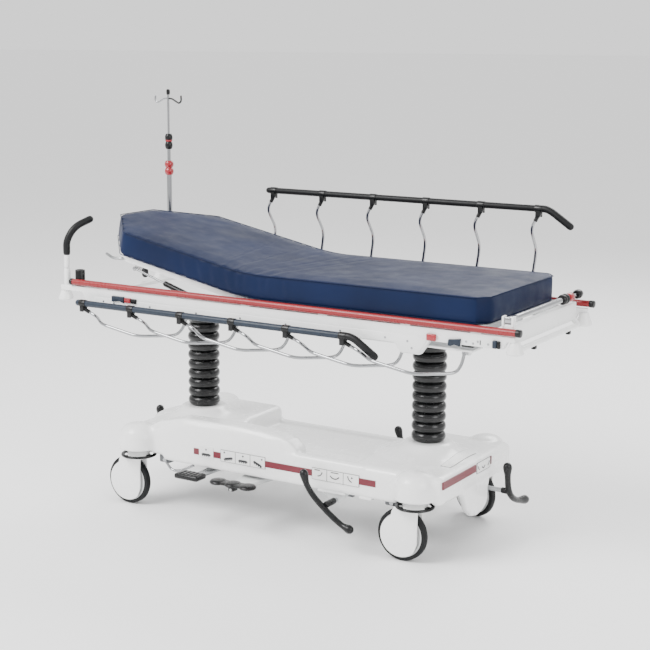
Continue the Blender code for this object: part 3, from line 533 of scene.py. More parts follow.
def hood_body():
    """The hood's outer form: rounded masses melted together."""
    y = HOOD_Y
    far_wall = [(-0.42, 0.236), (0.42, 0.236), (0.42, 0.300), (0.34, 0.281), (-0.34, 0.281), (-0.42, 0.300)]
    near_wall = [(-0.62, 0.232), (0.42, 0.228), (0.42, 0.337), (0.10, 0.337), (-0.62, 0.337)]
    near_crest = [(-0.640, 0.300), (0.110, 0.320), (0.112, 0.337), (0.098, 0.356), (0.070, 0.377),
                  (0.020, 0.393), (-0.060, 0.402), (-0.200, 0.406), (-0.440, 0.400), (-0.560, 0.372),
                  (-0.640, 0.330)]
    near_flank = [(-0.600, 0.300), (0.060, 0.320), (0.045, 0.360), (0.000, 0.384), (-0.120, 0.390),
                  (-0.430, 0.384), (-0.540, 0.350)]
    guard = [(-0.150, 0.262), (-0.118, 0.195), (-0.098, 0.160), (-0.060, 0.130), (-0.020, 0.1215),
             (0.025, 0.127), (0.062, 0.143), (0.078, 0.165), (0.075, 0.205), (0.096, 0.262)]
    pieces = [
        block("hood", (-0.708, -0.340), (-y, y), (0.228, 0.343), 0.030, 5),
        block("foot_mass", (0.345, 0.745), (-y, y), (0.228, 0.338), 0.026, 5),
        block("skirt", (-0.540, 0.560), (-y, -0.255), (0.212, 0.300), 0.012, 3),
        block("tray", (-0.400, 0.400), (-0.295, 0.295), (0.236, 0.257), 0.004, 2),
        block("tray_step", (-0.400, 0.400), (0.022, 0.300), (0.240, 0.268), 0.006, 3),
        plate("far_wall", far_wall, 0.268, y, edge=0.010, segments=4),
        plate("near_wall", near_wall, -y, -0.262, edge=0.011, segments=4),
        plate("near_crest", near_crest, -0.301, -0.216, edge=0.024, segments=5),
        plate("near_flank", near_flank, -y, -0.262, edge=0.007, segments=3),
        plate("guard", guard, 0.722, 0.756, "YZ", 0.010, 4),
        mound("mound_head", COLUMN_X["head"]),
        mound("mound_foot", COLUMN_X["foot"]),
    ]
    for x, side_y, _yaw in STEMS.values():
        pieces.append(lathe("dome", [(0.0, 0.354), (0.030, 0.352), (0.054, 0.343), (0.071, 0.326),
                                     (0.080, 0.300), (0.081, 0.246), (0.0, 0.246)], (x, side_y, 0)))
    hood = joined(*pieces)
    applied(hood, "REMESH", mode="VOXEL", voxel_size=0.0062)
    return applied(hood, "SMOOTH", factor=0.5, iterations=9)


def hood_hollows():
    """What the hood leaves open: the caster wells, the inside and the columns' bores."""
    hollows = [
        block("hollows", (-0.694, -0.400), (-0.296, 0.296), (0.15, 0.325)),
        block("foot_hollow", (0.390, 0.724), (-0.296, 0.296), (0.15, 0.322)),
    ]
    for x, side_y, _yaw in STEMS.values():
        hollows.append(rod("well", (x, side_y, 0.15), (x, side_y, 0.300), 0.0735, sides=48))
    for x in COLUMN_X.values():
        hollows.append(rod("bore", (x, 0, 0.15), (x, 0, 0.42), 0.0465, sides=48))
    first = hollows[0]
    for other in hollows[1:]:
        fused(first, other)
    return first


def icon_bar(x, z, long, high, turn=0.0):
    """A short printed bar on the near face."""
    half, rise = long / 2, high / 2
    cos, sin = math.cos(turn), math.sin(turn)
    corners = [(-half, -rise), (half, -rise), (half, rise), (-half, rise)]
    outline = [(x + a * cos - b * sin, z + a * sin + b * cos) for a, b in corners]
    return plate("mark", outline, -HOOD_Y - 0.0033, -HOOD_Y - 0.0020)


def icon_arc(x, z, radius, width, start, end):
    """A printed arc on the near face, from one angle to another in degrees."""
    steps = [math.radians(start + (end - start) * index / 10) for index in range(11)]
    outer = [(x + radius * math.cos(a), z + radius * math.sin(a)) for a in steps]
    inner = [(x + (radius - width) * math.cos(a),
              z + (radius - width) * math.sin(a)) for a in reversed(steps)]
    return plate("mark", outer + inner, -HOOD_Y - 0.0033, -HOOD_Y - 0.0020)


def icon_bed(x, z, turn):
    """A printed bed with its dots, level or tipped."""
    marks = [icon_bar(x, z - 0.006, 0.044, 0.0055, turn), icon_bar(x, z - 0.0015, 0.036, 0.003, turn)]
    for offset in (-0.016, -0.006, 0.004, 0.014):
        marks.append(icon_bar(x + offset * math.cos(turn), z - 0.011 + offset * math.sin(turn), 0.005,
                              0.004, turn))
    return marks


def icon_marks():
    marks = icon_bed(-0.314, 0.276, 0.0) + [icon_bar(-0.314, 0.2915, 0.006, 0.006, math.radians(45))]
    marks += icon_bed(-0.205, 0.276, math.radians(12)) + [icon_bar(-0.224, 0.294, 0.006, 0.006, 0.8)]
    marks += icon_bed(-0.134, 0.276, 0.0) + [icon_bar(-0.134, 0.2915, 0.006, 0.006, 0.8)]
    marks += icon_bed(-0.064, 0.276, math.radians(-22)) + [icon_bar(-0.044, 0.292, 0.006, 0.006, 0.8)]
    marks += [icon_arc(0.214, 0.289, 0.022, 0.0036, 270, 350), icon_bar(0.212, 0.292, 0.024, 0.003)]
    marks += [icon_arc(0.290, 0.292, 0.026, 0.0040, 215, 325), icon_bar(0.290, 0.292, 0.034, 0.003)]
    marks += [icon_arc(0.372, 0.291, 0.026, 0.0036, 185, 255), icon_bar(0.366, 0.284, 0.006, 0.006, 0.8)]
    return joined(*marks)


def framed_label(name, x, z):
    """A pale film with a thin printed border."""
    label = block(name, x, (-HOOD_Y - 0.0024, -HOOD_Y + 0.004), z)
    label.data.materials.append(look("label"))
    label.data.materials.append(look("ink"))
    for face in label.data.polygons:
        face.select = face.normal.y < -0.5
    bpy.ops.object.mode_set(mode="EDIT")
    bpy.ops.mesh.select_mode(type="FACE")
    bpy.ops.mesh.inset(thickness=0.0012)
    bpy.ops.mesh.select_all(action="INVERT")
    label.active_material_index = 1
    bpy.ops.object.material_slot_assign()
    bpy.ops.object.mode_set(mode="OBJECT")
    return label


def hood_labels():
    for index, (start, end) in enumerate(((-0.376, -0.349), (-0.279, -0.242), (-0.029, 0.188),
                                          (0.397, 0.468))):
        strip = block(f"stripe_{index + 1}", (start, end), (-HOOD_Y - 0.0018, -HOOD_Y + 0.004),
                      (0.2645, 0.2895))
        done(strip, look("stripe"), "base")
    panels = [(-0.349, -0.279), (-0.242, -0.171), (-0.171, -0.100), (-0.100, -0.029), (0.188, 0.255),
              (0.255, 0.328), (0.328, 0.397)]
    for index, x in enumerate(panels):
        z = (0.2555, 0.3035) if x[0] < 0 else (0.2530, 0.2990)
        done(framed_label(f"label_{index + 1}", x, z), None, "base")
    done(icon_marks(), look("ink"), "base")


def end_labels():
    face = 0.745
    strip = block("end_stripe", (face - 0.004, face + 0.0015), (-0.300, -0.022), (0.2970, 0.3250))
    done(strip, look("stripe"), "base")
    done(block("end_tick", (face - 0.004, face + 0.0015), (0.108, 0.116), (0.2950, 0.3270)), look("stripe"),
         "base")
    card = block("end_label", (face - 0.004, face + 0.0012), (-0.016, 0.102), (0.2860, 0.3290))
    done(card, look("label"), "base")
    marks = []
    for centre, start, end in ((0.010, 190, 260), (0.042, 215, 325), (0.078, 280, 350)):
        steps = [math.radians(start + (end - start) * index / 8) for index in range(9)]
        outer = [(centre + 0.017 * math.cos(a), 0.318 + 0.022 * math.sin(a)) for a in steps]
        inner = [(centre + 0.013 * math.cos(a), 0.318 + 0.018 * math.sin(a)) for a in reversed(steps)]
        marks.append(plate("end_marks", outer + inner, face + 0.001, face + 0.0022, "YZ"))
    for y in ((-0.016, -0.0145), (0.1005, 0.102)):
        marks.append(block("end_marks", (face, face + 0.0019), y, (0.286, 0.329)))
    for z in ((0.286, 0.2875), (0.3275, 0.329)):
        marks.append(block("end_marks", (face, face + 0.0019), (-0.016, 0.102), z))
    done(joined(*marks), look("ink"), "base")


def wrapped_film(name, hood, x, y, lift):
    """A thin film laid on the hood's curved top."""
    deselect()
    bpy.ops.mesh.primitive_grid_add(x_subdivisions=10, y_subdivisions=40, size=1.0,
                                    location=(sum(x) / 2, sum(y) / 2, 0.5))
    film = named(name)
    film.scale = (x[1] - x[0], y[1] - y[0], 1)
    settled(film)
    applied(film, "SHRINKWRAP", target=hood, wrap_method="PROJECT", use_project_z=True,
            use_positive_direction=False, use_negative_direction=True, offset=lift)
    return applied(film, "SOLIDIFY", thickness=0.0015, offset=-1.0)


def name_plate(hood):
    """The blank plate with a dark border on the foot end's slope."""
    done(wrapped_film("plate_border", hood, (0.657, 0.700), (-0.150, 0.069), 0.0008), look("ink"), "base")
    done(wrapped_film("plate_face", hood, (0.6590, 0.6980), (-0.148, 0.067), 0.0016), look("label"), "base")


def base_details():
    """Brackets and links under the hood's near edge, and their opposite numbers."""
    for name, side in SIDES.items():
        y0, y1 = sorted((side * 0.296, side * 0.286))
        bracket = plate("brake_bracket_" + name, [(0.182, 0.238), (0.372, 0.238), (0.300, 0.170),
                                                  (0.276, 0.168)], y0, y1, edge=0.003)
        done(bracket, look("pale"), "base")
        y0, y1 = sorted((side * 0.304, side * 0.289))
        rib = block("brake_rib_" + name, (0.208, 0.330), (y0, y1), (0.205, 0.2300), 0.004)
        done(rib, look("hood"), "base")
        y0, y1 = sorted((side * 0.296, side * 0.262))
        for label, x in (("head", -0.545), ("foot", 0.520)):
            arm = block(f"caster_link_{label}_{name}", (x - 0.020, x + 0.034), (y0, y1), (0.198, 0.232),
                        0.006)
            done(arm, look("dark_steel"), "base")
            stub = rod(f"link_pin_{label}_{name}", (x + 0.012, side * 0.260, 0.212),
                       (x + 0.012, side * 0.304, 0.212), 0.0095, edge=0.002)
            done(stub, look("chrome"), "base")
        bends = [(-0.530, side * 0.298, 0.206), (-0.500, side * 0.298, 0.172),
                 (-0.455, side * 0.298, 0.176), (-0.400, side * 0.280, 0.204)]
        link = tube("pump_link_" + name, rounded(bends, 0.02), 0.0052)
        done(link, look("chrome"), "base")
        clip = block("hood_clip_" + name, (0.392, 0.448), sorted((side * 0.306, side * 0.280)),
                     (0.206, 0.226), 0.004)
        done(clip, look("hood"), "base")


class BaseHood(bpy.types.Operator):
    """Moulds the hood with its stripes, labels and brackets"""
    bl_idname = "trolley.base_hood"
    bl_label = "Base hood"

    def execute(self, context):
        hood = fused(hood_body(), hood_hollows(), operation="DIFFERENCE")
        hood.name = "hood_shell"
        name_plate(hood)
        done(hood, look("hood"), "base", "base_hood", angle=45)
        hood_labels()
        end_labels()
        base_details()
        return {"FINISHED"}


class Columns(bpy.types.Operator):
    """Turns the two rubber gaiters and their caps"""
    bl_idname = "trolley.columns"
    bl_label = "Columns"

    def execute(self, context):
        for label, x in COLUMN_X.items():
            gaiter = lathe("gaiter_" + label, gaiter_profile(settings().folds), (x, 0, 0), steps=56)
            done(gaiter, look("rubber"), "base", "bellows_" + label, angle=80)
            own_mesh(gaiter)
            cap = lathe("cap_" + label, [(0.0, 0.8260), (0.030, 0.8255), (0.056, 0.8215), (0.070, 0.813),
                                         (0.0745, 0.803), (0.0, 0.803)], (x, 0, 0))
            done(cap, look("plastic"), "lift", "column_cap_" + label)
            collar = lathe("collar_" + label, [(0.055, 0.8028), (0.0735, 0.8028), (0.0770, 0.799),
                                               (0.0770, 0.786), (0.0735, 0.7810), (0.055, 0.7810)],
                                               (x, 0, 0))
            done(collar, look("hood"), "lift")
        return {"FINISHED"}


def gaiter_profile(folds):
    """Rounded rubber folds outside, over a plain bore."""
    pitch = (BELLOWS_TOP - COLLAR_TOP) / folds
    outer = []
    for fold in range(folds):
        for step in range(12):
            wave = math.sin(math.pi * step / 12)
            outer.append((0.0555 + 0.0118 * wave ** 0.62, BELLOWS_TOP - pitch * (fold + step / 12)))
    outer.append((0.0555, COLLAR_TOP))
    return outer + [(0.0530, COLLAR_TOP), (0.0530, BELLOWS_TOP)]


# ---------------------------------------------------------------- casters
def cover_outline():
    """A round side cover with a neck up to the crown and a step at its front."""
    arc = []
    for index in range(37):
        angle = math.radians(118 + (312 - 118) * index / 36)
        arc.append((-TRAIL + 0.083 * math.cos(angle), WHEEL_R + 0.083 * math.sin(angle)))
    return [(0.024, 0.208), (-0.078, 0.208), (-0.086, 0.190), *arc, (0.014, 0.058), (0.021, 0.078),
            (0.0225, 0.190)]


def caster_parts():
    """One caster about its stem: covers and crown, ring, tyre and hub."""
    outline = cover_outline()
    cover = plate("caster_cover", outline, -0.0262, -0.0188, edge=0.0022)
    cover = joined(cover, mirrored(cover, "cover"))
    crown = lathe("crown", [(0.0, 0.243), (0.036, 0.2425), (0.0435, 0.239), (0.0465, 0.232),
                            (0.0465, 0.212), (0.0430, 0.2045), (0.0, 0.2035)])
    cover = joined(cover, crown, rod("stem", (0, 0, 0.240), (0, 0, 0.276), 0.011))
    ring = lathe("caster_ring", [(0.0745, 0.2185), (0.0725, 0.2225), (0.0640, 0.2235), (0.0600, 0.2210),
                                 (0.0600, 0.2160), (0.0640, 0.2135), (0.0725, 0.2145)], steps=64)
    spokes = [block("spoke", (-0.062, -0.044), (-0.012, 0.012), (0.215, 0.222), 0.002),
              block("spoke", (0.044, 0.062), (-0.012, 0.012), (0.215, 0.222), 0.002)]
    ring = joined(ring, *spokes)
    tyre = lathe("tyre", [(0.086, 0.0150), (0.0935, 0.0150), (0.0985, 0.0128), (0.1010, 0.0085),
                          (0.1015, 0.0030), (0.1015, -0.0030), (0.1010, -0.0085), (0.0985, -0.0128),
                          (0.0935, -0.0150), (0.086, -0.0150)], (-TRAIL, 0, WHEEL_R), "Y", steps=72)
    half = [(0.0072, 0.0160), (0.020, 0.0160), (0.024, 0.0100), (0.074, 0.0090), (0.080, 0.0138),
            (0.0865, 0.0138)]
    profile = half + [(radius, -height) for radius, height in reversed(half)]
    hub = lathe("hub", profile, (-TRAIL, 0, WHEEL_R), "Y", steps=56)
    return cover, ring, tyre, hub


class Casters(bpy.types.Operator):
    """Builds one swivel caster and places its four copies"""
    bl_idname = "trolley.casters"
    bl_label = "Casters"

    def execute(self, context):
        parts = caster_parts()
        rides = (("caster_", "hood", "caster_fork_"), ("caster_", "plastic", None),
                 ("wheel_", "tyre", "caster_wheel_"), ("wheel_", "pale", None))
        for place, (x, y, yaw) in STEMS.items():
            matrix = Matrix.Translation((x, y, 0)) @ Matrix.Rotation(yaw, 4, "Z")
            for part, (body, surface, node) in zip(parts, rides):
                piece = copied(part, f"{part.name}_{place}", matrix)
                nodes = [node + place] if node else []
                done(piece, look(surface), body + place, *nodes)
        select(*parts)
        bpy.ops.object.delete()
        return {"FINISHED"}


# ---------------------------------------------------------------- levers and pedals
def lever(name, points, thick=0.0105):
    """A moulded lever with a bulb at each end."""
    path = flowing(points, 8)
    last = len(path) - 1
    radii = []
    for index in range(len(path)):
        t = index / last
        bulb = math.exp(-(t / 0.10) ** 2) + math.exp(-((1 - t) / 0.10) ** 2)
        radii.append(1.0 + 0.62 * bulb + 0.12 * math.sin(math.pi * t))
    return tube(name, path, thick, radii, resolution=8, domed=True)


class BrakeLevers(bpy.types.Operator):
    """Shapes the side and end brake levers on their shafts"""
    bl_idname = "trolley.brake_levers"
    bl_label = "Brake levers"

    def execute(self, context):
        x, z = BRAKE_SHAFT
        side = lever("side_lever_near", [(0.191, -0.376, 0.291), (0.206, -0.376, 0.247),
                                         (0.238, -0.376, 0.206), (0.278, -0.376, 0.172),
                                         (0.322, -0.376, 0.139), (0.362, -0.376, 0.115),
                                         (0.394, -0.376, 0.104)])
        boss = rod("boss", (x, -0.372, z), (x, -0.312, z), 0.0125, edge=0.003)
        side = joined(side, boss)
        shaft = rod("side_brake_shaft", (x, -0.330, z), (x, 0.330, z), 0.0080)
        done(mirrored(side, "side_lever_far"), look("plastic"), "side_brake")
        done(side, look("plastic"), "side_brake", "side_brake_levers")
        done(shaft, look("steel"), "side_brake")
        y, z = END_SHAFT
        for label, place, inner in (("head", -0.850, 0.030), ("foot", 0.830, -0.030)):
            points = [(place, 0.080, 0.304), (place, 0.086, 0.254), (place, 0.096, 0.212),
                      (place, 0.124, 0.176), (place, 0.178, 0.146), (place, 0.258, 0.126)]
            piece = lever("end_lever_" + label, points, 0.0110)
            boss = rod("boss", (place, y, z), (place + inner, y, z), 0.0120, edge=0.002)
            piece = joined(piece, boss)
            done(piece, look("plastic"), "end_brake", *(["end_brake_levers"] if label == "foot" else []))
        done(rod("end_brake_shaft", (-0.835, y, z), (0.815, y, z), 0.0090), look("steel"), "end_brake")
        return {"FINISHED"}


def pump_parts():
    arm = plate("pump_arm", [(PUMP_X - 0.030, -0.198), (PUMP_X + 0.030, -0.198), (PUMP_X + 0.022, -0.330),
                             (PUMP_X + 0.018, -0.430), (PUMP_X - 0.030, -0.430), (PUMP_X - 0.022, -0.330)],
                0.1935, 0.2030, "XY", 0.0025)
    pad = block("pump_pad", (-0.370, -0.256), (-0.456, -0.388), (0.200, 0.2215), 0.0085, 4)
    ribs = []
    for index in range(5):
        x = -0.352 + index * 0.0195
        ribs.append(block("rib", (x, x + 0.009), (-0.446, -0.398), (0.2195, 0.2237), 0.0016, 2))
    return arm, joined(pad, *ribs)


def release_parts():
    x = RELEASE_X
    bracket = plate("release_housing", [(x - 0.066, -0.196), (x + 0.066, -0.196), (x + 0.048, -0.300),
                                        (x + 0.030, -0.392), (x - 0.030, -0.392), (x - 0.048, -0.300)],
                    0.1835, 0.2005, "XY", 0.004)
    spine = rod("spine", (x, -0.390, 0.191), (x, -0.438, 0.191), 0.0050)
    pad = block("release_tread", (x - 0.069, x + 0.069), (-0.444, -0.399), (0.2040, 0.2165), 0.004)
    lug = block("lug", (x - 0.012, x + 0.012), (-0.436, -0.403), (0.1835, 0.2065), 0.003)
    bore = rod("bore", (x, -0.450, 0.191), (x, -0.390, 0.191), 0.0062)
    pad = joined(pad, fused(lug, bore, operation="DIFFERENCE"))
    for offset in (-0.069, 0.0, 0.069):
        lobe = lathe("lobe", [(0.0, 0.2200), (0.022, 0.2190), (0.0305, 0.2160), (0.0345, 0.2110),
                              (0.0345, 0.2070), (0.0320, 0.2035), (0.0, 0.2035)], (x + offset, -0.420, 0))
        pad = joined(pad, lobe)
    return joined(bracket, spine), pad


class Pedals(bpy.types.Operator):
    """Builds the pump pedals and the three-lobed release pedals"""
    bl_idname = "trolley.pedals"
    bl_label = "Foot pedals"

    def execute(self, context):
        arm, pad = pump_parts()
        housing, tread = release_parts()
        hinges = rod("pedal_pins", (RELEASE_X - 0.042, -0.205, 0.200), (RELEASE_X + 0.042, -0.205, 0.200),
                     0.0041)
        housing = joined(housing, hinges)
        for piece, surface, body, node in (
                (arm, "steel", "pump_", "pump_pedal_"), (pad, "plastic", "pump_", None),
                (housing, "pale", "release_", "release_bracket_"),
                (tread, "plastic", "release_rocker_", "release_pad_")):
            for name in ("far", "near"):
                made = mirrored(piece, piece.name + "_far") if name == "far" else piece
                done(made, look(surface), body + name, *([node + name] if node else []))
        return {"FINISHED"}


# ---------------------------------------------------------------- litter
def beam_outline():
    return [(-1.030, 0.883), (-0.915, 0.884), (-0.885, 0.835), (0.560, 0.835), (0.585, 0.802),
            (0.660, 0.802), (0.700, 0.858), (0.985, 0.858), (1.000, 0.886), (1.030, 0.887), (1.030, 0.905),
            (-1.030, 0.905)]


def beams():
    """The near side beam with its fascia, ledge, pivot lugs and rail saddles."""
    beam = plate("litter_beam_near", beam_outline(), -BEAM_OUTER, -BEAM_INNER, edge=0.0022)
    outline = [(-0.868, 0.8385), (0.556, 0.8385), (0.584, 0.8060), (0.656, 0.8060), (0.692, 0.8620),
               (0.640, 0.8700), (-0.850, 0.8700)]
    fascia = plate("fascia", outline, -BEAM_OUTER - 0.0022, -BEAM_OUTER + 0.001, edge=0.0009)
    ledge = block("ledge", (-0.48, 0.86), (-0.325, -0.2345), (0.829, 0.8365), 0.0015)
    saddles = [block("saddle", (-0.898, -0.770), (-0.330, -0.296), (0.845, 0.904), 0.003)]
    for index in range(SPINDLES):
        x = PIVOT_LAST_X - PITCH * index
        lug = block("lug", (x - 0.013, x + 0.013), (-0.2535, -0.236), (0.800, 0.833), 0.002)
        saddles.append(fused(lug, rod("bore", (x, -0.27, PIVOT_Z), (x, -0.22, PIVOT_Z), 0.0046),
                             operation="DIFFERENCE"))
    for x in (-0.80, -0.45, -0.10, 0.25, 0.60, 0.88):
        saddles.append(block("saddle", (x - 0.02, x + 0.02), (-0.3435, -0.334), (0.900, 0.9087), 0.001))
    return joined(beam, fascia, ledge, *saddles)


def cross_members():
    pieces = []
    for x in (-0.230, 0.360):
        pieces.append(block("litter_crossbars", (x - 0.015, x + 0.015), (-0.322, 0.322), (0.878, 0.9045),
                            0.003))
    pieces.append(block("bar", (-0.880, -0.845), (-0.324, 0.324), (0.868, 0.8830), 0.003))
    pieces.append(block("bar", (0.925, 0.960), (-0.324, 0.324), (0.868, 0.9035), 0.003))
    pieces.append(block("bar", (-0.055, 0.035), (-0.323, 0.323), (0.876, 0.9042), 0.003))
    for side in SIDES.values():
        y = sorted((side * 0.046, side * 0.058))
        cheek = block("cheek", (-0.026, 0.006), y, (0.846, 0.880), 0.002)
        bore = rod("bore", (-0.010, y[0] - 0.01, 0.862), (-0.010, y[1] + 0.01, 0.862), 0.0086)
        pieces.append(fused(cheek, bore, operation="DIFFERENCE"))
    lug = block("lug", (-0.301, -0.273), (-0.2480, -0.238), (0.8335, 0.866), 0.002)
    pieces.append(fused(lug, rod("bore", (-0.287, -0.26, 0.858), (-0.287, -0.22, 0.858), 0.0046),
                        operation="DIFFERENCE"))
    return joined(*pieces)


def beam_bolts():
    bolts = []
    for x, z in ((-0.800, 0.856), (-0.745, 0.852), (-0.560, 0.856), (-0.330, 0.854), (-0.120, 0.856),
                 (0.090, 0.854), (0.330, 0.856), (0.520, 0.852), (0.612, 0.848), (0.630, 0.824),
                 (0.845, 0.872), (0.872, 0.868), (0.890, 0.876), (0.930, 0.871)):
        depth = 0.0024 if x < 0.66 else 0.0
        bolts.append(rod("beam_bolts_near", (x, -BEAM_OUTER + 0.001, z),
                         (x, -BEAM_OUTER - depth - 0.0012, z), 0.0042, edge=0.0006, sides=16))
    return joined(*bolts)


def corner_cones():
    cones = []
    profile = [(0.0, 0.8915), (0.014, 0.8915), (0.0175, 0.888), (0.0200, 0.876), (0.0290, 0.856),
               (0.0315, 0.846), (0.0290, 0.8405), (0.0, 0.8400)]
    for x in (-1.0225, 1.0225):
        for side in SIDES.values():
            cones.append(lathe("corner_bumpers", profile, (x, side * POST[1], 0)))
    return joined(*cones)


def trim_pieces():
    """Small fittings on the near beam: coloured blocks, caps and clips, and a dark strip of painted shade
    for a slot.
    """
    y = -BEAM_OUTER
    flare = plate("trim_flare_head", [(-0.752, 0.884), (-0.752, 0.860), (-0.712, 0.866), (-0.690, 0.858),
                                      (-0.690, 0.884)], y - 0.010, y + 0.002, edge=0.002)
    done(flare, look("slate"), "litter")
    done(block("trim_red_head", (-0.686, -0.656), (y - 0.011, y + 0.002), (0.862, 0.882), 0.003),
         look("red_plastic"), "litter")
    done(block("trim_black_head", (-0.654, -0.628), (y - 0.009, y + 0.002), (0.861, 0.880), 0.003),
         look("plastic"), "litter")
    outline = [(0.776, 0.852), (0.786, 0.850), (0.802, 0.857), (0.822, 0.852), (0.826, 0.880),
               (0.800, 0.876), (0.778, 0.874)]
    wedge = plate("trim_wedge_foot", outline, y - 0.009, y + 0.002, edge=0.002)
    done(wedge, look("slate"), "litter")
    done(block("trim_latch_foot", (0.949, 0.966), (y - 0.011, y + 0.002), (0.860, 0.889), 0.004),
         look("slate"), "litter")
    done(block("trim_latch_cap", (0.966, 0.978), (y - 0.009, y + 0.002), (0.860, 0.888), 0.004),
         look("plastic"), "litter")
    done(block("trim_clip_foot", (0.822, 0.868), (-0.334, -0.318), (0.8490, 0.8575), 0.002),
         look("plastic"), "litter")
    # painted shade: a dark strip laid on the beam face stands for the shade inside a slot
    slot_shade = block("trim_slot_shade_foot", (0.898, 0.902), (y - 0.0012, y + 0.002), (0.866, 0.882), 0.0005)
    done(slot_shade, look("dark_steel"), "litter")


def foot_end():
    panel = block("foot_panel_sheet", (0.9860, 1.003), (-0.290, 0.290), (0.866, 0.936), 0.0050, 4)
    lip = block("lip", (0.978, 0.990), (-0.286, 0.286), (0.929, 0.936), 0.002)
    done(joined(panel, lip), look("paint"), "litter", "foot_panel")
    bar = tube("foot_bar", rounded([(0.992, -0.267, 0.880), (1.020, -0.267, 0.851), (1.020, 0.267, 0.851),
                                    (0.992, 0.267, 0.880)], 0.02), 0.0100)
    done(bar, look("paint"), "litter")
    for y, z in ((-0.150, 0.8405), (0.172, 0.8400)):
        done(block("foot_bar_stop", (1.012, 1.028), (y - 0.010, y + 0.010), (z - 0.010, z + 0.004), 0.003),
             look("plastic"), "litter")


def pole_mounts():
    x, y, z = HEAD_POLE
    head = [rod("head_pole_mount", (x, y - 0.006, 0.905), (x, y - 0.006, 0.990), 0.0120, edge=0.002),
            block("yoke", (x - 0.022, x - 0.0140), (y - 0.013, y + 0.013), (0.992, z + 0.014), 0.002),
            block("yoke", (x + 0.0140, x + 0.022), (y - 0.013, y + 0.013), (0.992, z + 0.014), 0.002),
            block("yoke", (x - 0.023, x + 0.023), (y - 0.015, y + 0.015), (0.985, 1.003), 0.003),
            rod("pin", (x - 0.025, y, z), (x + 0.025, y, z), 0.0042)]
    done(joined(*head), look("grip"), "litter")
    x, y, z = FOOT_POLE
    foot = [block("foot_pole_mount", (x - 0.023, x + 0.023), (-0.340, -0.314), (0.900, 0.948), 0.003),
            block("yoke", (x - 0.022, x - 0.0140), (-0.344, -0.318), (0.940, z + 0.014), 0.002),
            block("yoke", (x + 0.0140, x + 0.022), (-0.344, -0.318), (0.940, z + 0.014), 0.002),
            rod("pin", (x - 0.025, y, z), (x + 0.025, y, z), 0.0042)]
    done(joined(*foot), look("paint"), "litter")


class LitterFrame(bpy.types.Operator):
    """Builds the litter's beams, bumper rails, end panel and corner fittings"""
    bl_idname = "trolley.litter_frame"
    bl_label = "Litter frame"

    def execute(self, context):
        near = beams()
        bolts = beam_bolts()
        done(mirrored(near, "litter_beam_far"), look("paint"), "litter")
        done(near, look("paint"), "litter", "litter_frame")
        done(mirrored(bolts, "beam_bolts_far"), look("steel"), "litter")
        done(bolts, look("steel"), "litter")
        done(cross_members(), look("paint"), "litter")
        done(corner_cones(), look("hood"), "litter")
        y, z, radius = BUMPER
        for name, side in SIDES.items():
            rail = rod("bumper_" + name, (-0.964, side * y, z), (1.038, side * y, z), radius, sides=40)
            done(rail, look("red"), "litter", "bumper_rail_" + name)
            for label, start, end in (("head", -0.976, -0.960), ("foot", 1.034, 1.0540)):
                cap = rod(f"bumper_cap_{label}_{name}", (start, side * y, z), (end, side * y, z),
                          radius + 0.0012, edge=0.003)
                done(cap, look("plastic"), "litter")
            profile = [(0.0, 0.972), (0.0112, 0.972), (0.0132, 0.969), (0.0132, 0.892), (0.0, 0.892)]
            post = lathe("handle_post_" + name, profile, (POST[0], side * POST[1], 0))
            done(post, look("paint"), "litter")
        foot_end()
        pole_mounts()
        trim_pieces()
        profile = [(0.0205, 0.968), (0.0190, 0.971), (0.0135, 0.971), (0.0122, 0.969), (0.0122, 0.906),
                   (0.0205, 0.906)]
        socket = lathe("pole_socket_cup", profile, (-0.945, -0.320, 0))
        bumper = rod("cut", (-1.0, -BUMPER[0], BUMPER[1]), (-0.9, -BUMPER[0], BUMPER[1]),
                     BUMPER[2] + 0.0008)
        done(fused(socket, bumper, operation="DIFFERENCE"), look("plastic"), "litter", "iv_socket")
        return {"FINISHED"}


# ---------------------------------------------------------------- mattress
def spine_point(t):
    """Where the mattress's underside is, and its tilt, at t metres past the hinge toward the head."""
    radius = 2 * HINGE_ARC / BACK_REST
    start_x = HINGE[0] + HINGE_ARC
    if t <= -HINGE_ARC:
        return Vector((HINGE[0] - t, 0, DECK_TOP)), 0.0
    tilt = min(BACK_REST, BACK_REST * (t + HINGE_ARC) / (2 * HINGE_ARC))
    point = Vector((start_x - radius * math.sin(tilt), 0, DECK_TOP + radius * (1 - math.cos(tilt))))
    if t > HINGE_ARC:
        beyond = t - HINGE_ARC
        point += Vector((-math.cos(tilt), 0, math.sin(tilt))) * beyond
    return point, tilt


def mattress_point(t, y, height):
    point, tilt = spine_point(t)
    return point + Vector((math.sin(tilt) * height, y, math.cos(tilt) * height))


def half_width(t):
    """Half the mattress's width: clipped foot corners and a long taper at the head."""
    clip_long, clip_wide = CORNER_CLIP
    if t > TAPER_START:
        share = (t - TAPER_START) / (MATTRESS_HEAD - TAPER_START)
        return MATTRESS_HALF - (MATTRESS_HALF - TIP_HALF) * share
    if t < MATTRESS_FOOT + clip_long:
        return MATTRESS_HALF - clip_wide * (MATTRESS_FOOT + clip_long - t) / clip_long
    return MATTRESS_HALF


def bent_mattress():
    """A box of many rows, shaped and bent over the hinge."""
    thick = MATTRESS_TOP - DECK_TOP - 0.0015
    deselect()
    bpy.ops.mesh.primitive_cube_add(size=1.0)
    obj = named("mattress")
    bpy.ops.object.mode_set(mode="EDIT")
    bpy.ops.mesh.subdivide(number_cuts=95)
    bpy.ops.object.mode_set(mode="OBJECT")
    for vertex in obj.data.vertices:
        t = MATTRESS_FOOT + (MATTRESS_HEAD - MATTRESS_FOOT) * (vertex.co.x + 0.5)
        y = vertex.co.y * 2 * (half_width(t) - 0.001)
        vertex.co = mattress_point(t, y, 0.0015 + (vertex.co.z + 0.5) * (thick - 0.0015))
    return applied(obj, "REMESH", mode="VOXEL", voxel_size=0.0105)


